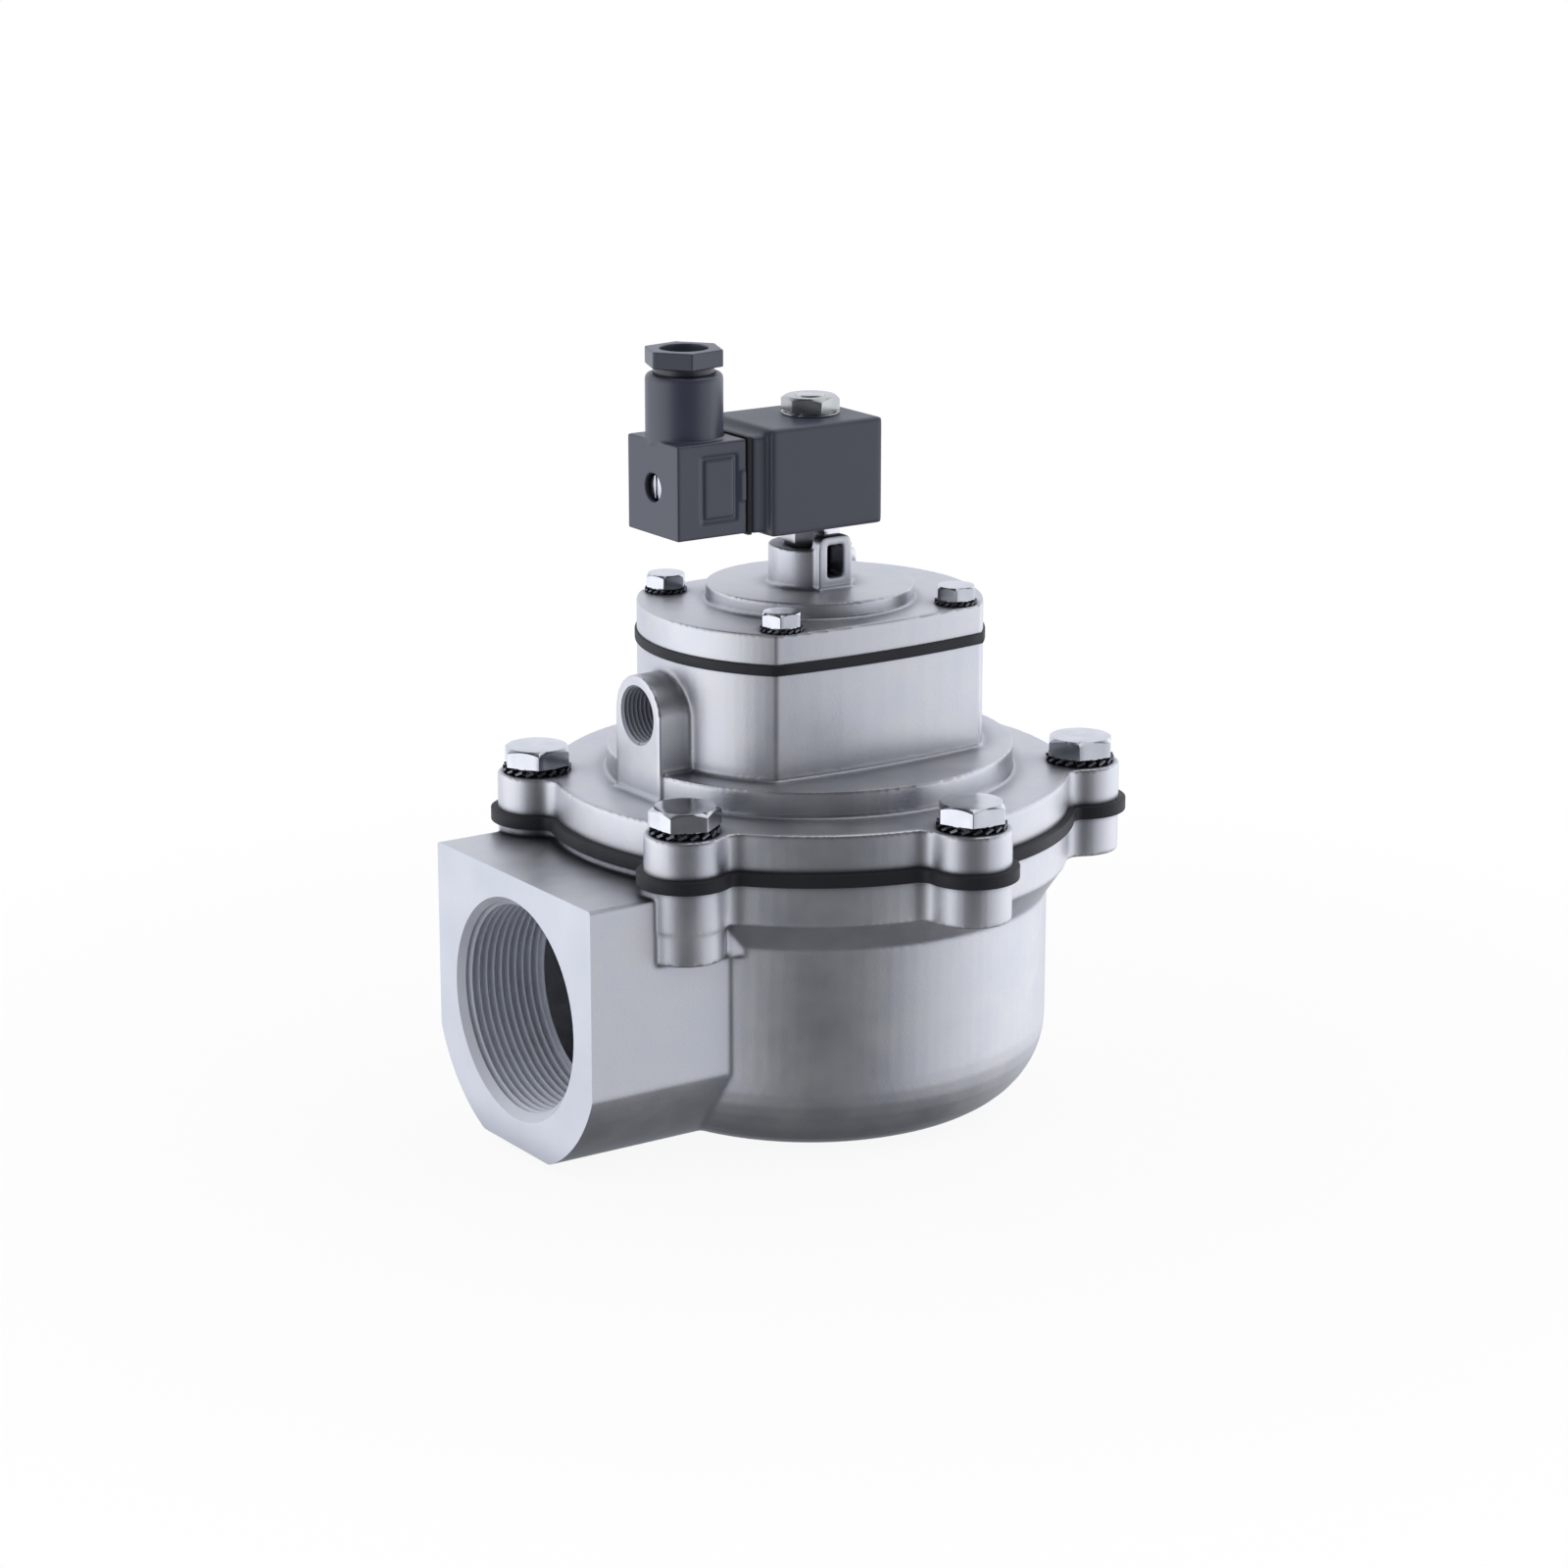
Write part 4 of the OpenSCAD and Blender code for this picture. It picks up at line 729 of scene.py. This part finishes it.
def set_round(name, master, ring_r, first_degrees, turns, z):
    """Copies of a master round the Z axis, each with its own turn, as one object. It removes the master."""
    shape = bmesh.new()
    for k, turn in enumerate(turns):
        place = math.radians(first_degrees + 360 * k / len(turns))
        spot = Vector((ring_r * math.cos(place), ring_r * math.sin(place), z))
        mesh = master.data.copy()
        mesh.transform(Matrix.Translation(spot) @ Matrix.Rotation(math.radians(turn), 4, "Z"))
        shape.from_mesh(mesh)
        bpy.data.meshes.remove(mesh)
    mesh = bpy.data.meshes.new(name)
    shape.to_mesh(mesh)
    shape.free()
    bpy.data.objects.remove(master)
    return new_object(name, mesh)


for prefix, ring_r, turns, first, shank_r, flats, length, edge_r in (
    ("main", BOLT_RING, MAIN_TURNS, 30, 5 * MM, 17 * MM, 25 * MM, 9.4 * MM),
    ("cover", SMALL_RING, SMALL_TURNS, 45, 3 * MM, 10 * MM, 20 * MM, 5.8 * MM),
):
    washers, bolts = prefix + "_lock_washers", prefix + "_bolts"
    foot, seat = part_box(washers)[0].z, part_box(washers)[1].z
    head_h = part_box(bolts)[1].z - seat
    master = bolt(bolts + "_master", flats, head_h, shank_r, length)
    heads = set_round(bolts + "_set", master, ring_r, first, turns, seat)
    shade(heads, 24)
    stands_for(heads, bolts, material=zinc)
    master = toothed_washer(washers + "_master", shank_r + 0.2 * MM, edge_r, seat - foot, teeth=18)
    rings = ring_of(washers + "_set", master, ring_r, len(turns), first, foot, dark_zinc,
                    loose_degrees=20, seed=4)
    shade(rings, 24)
    stands_for(rings, washers, material=dark_zinc)

# %% [markdown]
# ## Plain pieces
# Many pieces have the right shape already and lack only the small break that every real edge has. A bevel
# that follows the edges of the solid gives it, and shading by angle keeps the flats flat.


# %% Bevelled copies
def bevelled(node, material, edge_mm, segments=2, name=None, sharp_degrees=40):
    """A copy of a CAD node with its edges broken."""
    obj = copy_of(node, name or node + "_finished")
    shape = bmesh.new()
    shape.from_mesh(obj.data)
    bmesh.ops.dissolve_limit(shape, angle_limit=FLAT_ANGLE, verts=shape.verts, edges=shape.edges)
    shape.to_mesh(obj.data)
    shape.free()
    modify(obj, "BEVEL", width=edge_mm * MM, segments=segments, limit_method="ANGLE",
           angle_limit=math.radians(32), use_clamp_overlap=True)
    settle(obj)
    shade(obj, sharp_degrees)
    return stands_for(obj, node, material=material)


for node, material, edge_mm in (
    ("core_tube", stainless, 0.25), ("coil_washer", nickel, 0.1), ("coil_terminals", tin, 0.12),
    ("plug_screw", zinc, 0.15), ("tube_seal", rubber, 0.15), ("diaphragm_plate", turned_metal, 0.4),
    ("guide_disc", turned_metal, 0.4), ("seat_seal", rubber, 0.4), ("diaphragm_screw", zinc, 0.2),
    ("diaphragm_nut", zinc, 0.2), ("pilot_plate", turned_metal, 0.2), ("pilot_disc", turned_metal, 0.2),
    ("pilot_rivet", brass, 0.2), ("pilot_orifice", brass, 0.2), ("fixed_core", stainless, 0.2),
    ("plunger", stainless, 0.25), ("plunger_seal", rubber, 0.2), ("coil_yoke", dark_zinc, 0.2),
    ("coil_bobbin", bobbin_nylon, 0.15), ("plug_gasket", rubber, 0.15), ("plug_insert", nylon, 0.3),
    ("gland_seal", rubber, 0.3), ("gland_washer", tin, 0.1),
):
    bevelled(node, material, edge_mm)

# %% [markdown]
# ## The coil's nut
# The nut that holds the coil is the same hexagon as the bolts, with the threaded stud showing in its
# middle.

# %% The coil's nut
NUT_FLATS, NUT_HOLE_R, NUT_TURN = 14 * MM, 4.05 * MM, math.radians(18)
nut_low, nut_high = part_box("coil_nut")
nut = hexagon_head("coil_nut_finished", NUT_FLATS, nut_high.z - nut_low.z, hole_r=NUT_HOLE_R)
nut.data.transform(Matrix.Translation((0, 0, nut_low.z)) @ Matrix.Rotation(NUT_TURN, 4, "Z"))
shade(nut, 24)
stands_for(nut, "coil_nut", material=nickel)

# %% [markdown]
# ## Moulded plastic
# The coil, the plug and the gland nut are moulded. They get the same treatment as the castings with smaller
# cubes, because a plastic mould is finer. The coil's block is relaxed longest, as its corners are the
# roundest. The plug also gets the bar of its latch beside the framed panel on each side.

# %% Coil, plug and gland nut
plug_low, plug_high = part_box("plug_housing")


def block(x, y, z, size_mm):
    """A box of a size round a point."""
    obj = new_object("block", bpy.data.meshes.new("block"))
    size = Matrix.Diagonal(Vector(size_mm) * MM).to_4x4()
    shape = bmesh.new()
    bmesh.ops.create_cube(shape, size=1, matrix=Matrix.Translation((x, y, z)) @ size)
    shape.to_mesh(obj.data)
    shape.free()
    return obj


LATCH_FROM_COIL, LATCH_HEIGHT, LATCH_SIZE_MM = 1.3 * MM, 13 * MM, (1.6, 0.8, 8.0)


def latch_bars():
    """The latch's bar beside the framed panel on each side of the plug."""
    return [block(plug_high.x - LATCH_FROM_COIL, side * plug_high.y, plug_low.z + LATCH_HEIGHT, LATCH_SIZE_MM)
            for side in (-1, 1)]


for node, voxel_mm, rounds, triangles, material, details in (
    ("coil_housing", 0.3, 90, 60000, epoxy, []), ("plug_housing", 0.25, 24, 80000, nylon, latch_bars()),
    ("gland_nut", 0.2, 8, 30000, nylon, []),
):
    moulded = casting(node, node + "_moulded", voxel_mm, rounds, triangles, material, details)
    shade(moulded)
    stands_for(moulded, node)

# %% [markdown]
# ## Diaphragms
# Each diaphragm is one sheet of rubber: a thick rim that is clamped between two castings, and a thin web
# that carries the moving plates. The web is cut into narrow bands.


# %% Diaphragms
def diaphragm(node, low_z, high_z):
    """A rubber diaphragm whose web is cut into bands, with its edges rounded."""
    obj = copy_of(node, node + "_rubber")
    shape = bmesh.new()
    shape.from_mesh(obj.data)
    bmesh.ops.dissolve_limit(shape, angle_limit=FLAT_ANGLE, verts=shape.verts, edges=shape.edges)
    bands = 6
    for i in range(1, bands):
        z = low_z + (high_z - low_z) * i / bands
        geometry = shape.verts[:] + shape.edges[:] + shape.faces[:]
        bmesh.ops.bisect_plane(shape, geom=geometry, plane_co=(0, 0, z), plane_no=(0, 0, 1), dist=SAME_POINT)
    shape.to_mesh(obj.data)
    shape.free()
    modify(obj, "BEVEL", width=0.5 * MM, segments=3, limit_method="ANGLE", angle_limit=math.radians(50))
    modify(obj, "TRIANGULATE")
    settle(obj)
    obj.data.materials.clear()
    obj.data.materials.append(rubber)
    shade(obj, 45)
    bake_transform(obj)
    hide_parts(node)
    print(f"{obj.name}: {len(obj.data.polygons)} triangles")


for node, plate, rim_mm, moving_body in (
    ("main_diaphragm", "diaphragm_plate", 3.6, "main_piston"),
    ("pilot_diaphragm", "pilot_plate", 3, "pilot_piston"),
):
    diaphragm(node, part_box(plate)[0].z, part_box(node)[1].z - rim_mm * MM)

# %% [markdown]
# ## Springs and the coil's wire
# The helix tree makes the three springs, whose end turns lie flat, and the wire that is wound on the
# bobbin. Each fills the height of its CAD solid.


# %% Springs and winding
def wound(name, low, high, wire, turns, flat_turns, corners, steps, material):
    """A wire of a thickness that winds from the bottom of a box to its top, inside its radius."""
    obj = grow(name, helix_tree, {
        "Radius": high.y - wire / 2, "Height": high.z - low.z - wire, "Turns": float(turns),
        "Profile Width": wire, "Profile Height": wire, "Flat Turns": flat_turns, "Corners": corners,
        "Steps": steps, "Material": material})
    obj.data.transform(Matrix.Translation((0, 0, low.z + wire / 2)))
    return obj


for node, joint, wire_mm, turns, lift_mm in (
    ("main_spring", "main_lift", 1.8, 4, 12), ("pilot_spring", "pilot_lift", 0.9, 5, 4),
    ("plunger_spring", "plunger_lift", 0.5, 7, 1.8),
):
    low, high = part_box(node)
    spring = wound(node + "_wire", low, high, wire_mm * MM, turns, flat_turns=0.6, corners=16, steps=40,
                   material=spring_wire)
    shade(spring, 60)
    stands_for(spring, node, material=spring_wire)
    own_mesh(spring)

low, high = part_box("coil_winding")
WIRE = 0.45 * MM
INNER_LAYERS_R = 5.9 * MM
full_r = high.y - 0.2 * MM
fitting_turns = int((high.z - low.z) / WIRE)
inner_layers = turned("winding_core", [(INNER_LAYERS_R, low.z), (full_r, low.z), (full_r, high.z),
                                       (INNER_LAYERS_R, high.z)], steps=64, ring=True)
outer_layer = wound("winding_wire", low, high, WIRE, fitting_turns - 1, flat_turns=0.0, corners=6, steps=48,
                    material=copper)
winding = join(inner_layers, outer_layer)
winding.name = "coil_winding_wire"
shade(winding, 50)
stands_for(winding, "coil_winding", material=copper)

# %% [markdown]
# ## Studio
# The photograph was taken on white. The camera sees plain white, and most of what the metal reflects is
# white too. Only the side that the photographer stands on is dark, which gives the round metal its dark
# middle between bright flanks. The ground straight below and the ceiling straight above are dim. On the
# photographer's side the room is also dark above the horizon, so that rounded edges there don't light up.
# That last part is a hood which only reflections see. Three large weak lamps brighten the flanks and the
# top.

# %% The room as reflections and light see it
AMBIENT = 0.9
DARK_SIDE = towards(-28, 0)
bpy.context.scene.view_settings.view_transform = "Standard"
world = bpy.data.worlds.new("studio")
bpy.context.scene.world = world
world.use_nodes = True
tree = world.node_tree
tree.nodes.clear()
rays = add(tree, "ShaderNodeLightPath").outputs
way = add(tree, "ShaderNodeTexCoord").outputs["Generated"]
facing_it = add(tree, "ShaderNodeVectorMath", {0: way, 1: DARK_SIDE},
                operation="DOT_PRODUCT").outputs["Value"]
front = ranged(tree, facing_it, 0.5, 0.96, 1.0, 0.15, interpolation_type="SMOOTHSTEP")
near_it = ranged(tree, facing_it, -0.5, 0.2, interpolation_type="SMOOTHSTEP")
height = add(tree, "ShaderNodeSeparateXYZ", {0: way}).outputs[2]
ground = ranged(tree, height, -0.8, -0.3, 0.12, 1.0)
ceiling = ranged(tree, height, 0.4, 0.8, 1.0, 0.5)
room = calc(tree, "MULTIPLY", front, calc(tree, "MULTIPLY", ceiling, ground))
above = ranged(tree, height, 0.0, 0.25, 0.0, 0.85)
open_part = calc(tree, "SUBTRACT", 1.0, calc(tree, "MULTIPLY", near_it, above))
lit = calc(tree, "MULTIPLY", room, AMBIENT)
seen = calc(tree, "MULTIPLY", room, open_part)
shed = add(tree, "ShaderNodeBackground", {"Color": colour("#f6f8ff"), "Strength": lit})
mirrored = add(tree, "ShaderNodeBackground", {"Color": colour("#f6f8ff"), "Strength": seen})
white = add(tree, "ShaderNodeBackground", {"Color": colour("#ffffff"), "Strength": 1.0})
gloss = calc(tree, "MAXIMUM", rays["Is Glossy Ray"], rays["Is Transmission Ray"])
mix = add(tree, "ShaderNodeMixShader", {0: gloss, 1: shed.outputs[0], 2: mirrored.outputs[0]})
mix = add(tree, "ShaderNodeMixShader", {0: rays["Is Camera Ray"], 1: mix.outputs[0], 2: white.outputs[0]})
add(tree, "ShaderNodeOutputWorld", {"Surface": mix.outputs[0]})

# %% [markdown]
# ## Floor and lamps
# The floor is a disc of white paper that is almost clear, so that only the valve's shadow shows on it, and
# its rim fades out. Neither the metal's reflections nor its light see the floor.

# %% Floor and lamps
floor_paper = bpy.data.materials.new("white_paper_sweep")
floor_paper.use_nodes = True
tree = floor_paper.node_tree
tree.nodes.clear()
place = add(tree, "ShaderNodeTexCoord").outputs["Object"]
reach = add(tree, "ShaderNodeVectorMath", {0: place}, operation="LENGTH").outputs["Value"]
fade = ranged(tree, reach, 0.1, 0.4, 0.92, 1.0, interpolation_type="SMOOTHSTEP")
paper = add(tree, "ShaderNodeBsdfDiffuse", {"Color": colour("#fbfbfb")})
clear = add(tree, "ShaderNodeBsdfTransparent")
mix = add(tree, "ShaderNodeMixShader", {0: fade, 1: paper.outputs[0], 2: clear.outputs[0]})
add(tree, "ShaderNodeOutputMaterial", {"Surface": mix.outputs[0]})
FLOOR_R, FLOOR_Z = 600 * MM, -0.5 * MM
floor = turned("floor", [(0, FLOOR_Z), (FLOOR_R, FLOOR_Z)], steps=64)
floor.data.materials.append(floor_paper)
floor.visible_glossy = False
floor.visible_diffuse = False
LAMP_TARGET = Vector((0, 0, 100 * MM))


def softbox(name, azimuth, elevation, distance, size, watts):
    """A square area lamp that looks at the middle of the valve."""
    lamp = bpy.data.objects.new(name, bpy.data.lights.new(name, "AREA"))
    bpy.context.scene.collection.objects.link(lamp)
    lamp.data.shape, lamp.data.size, lamp.data.energy = "SQUARE", size, watts
    out = towards(azimuth, elevation)
    lamp.location = LAMP_TARGET + out * distance
    lamp.rotation_euler = out.to_track_quat("Z", "Y").to_euler()


softbox("key_left", -110, 10, 1.5, 2.0, 5.6)
softbox("fill_right", 80, 10, 1.5, 2.0, 4.5)
softbox("top_light", 60, 70, 1.0, 0.8, 1.5)
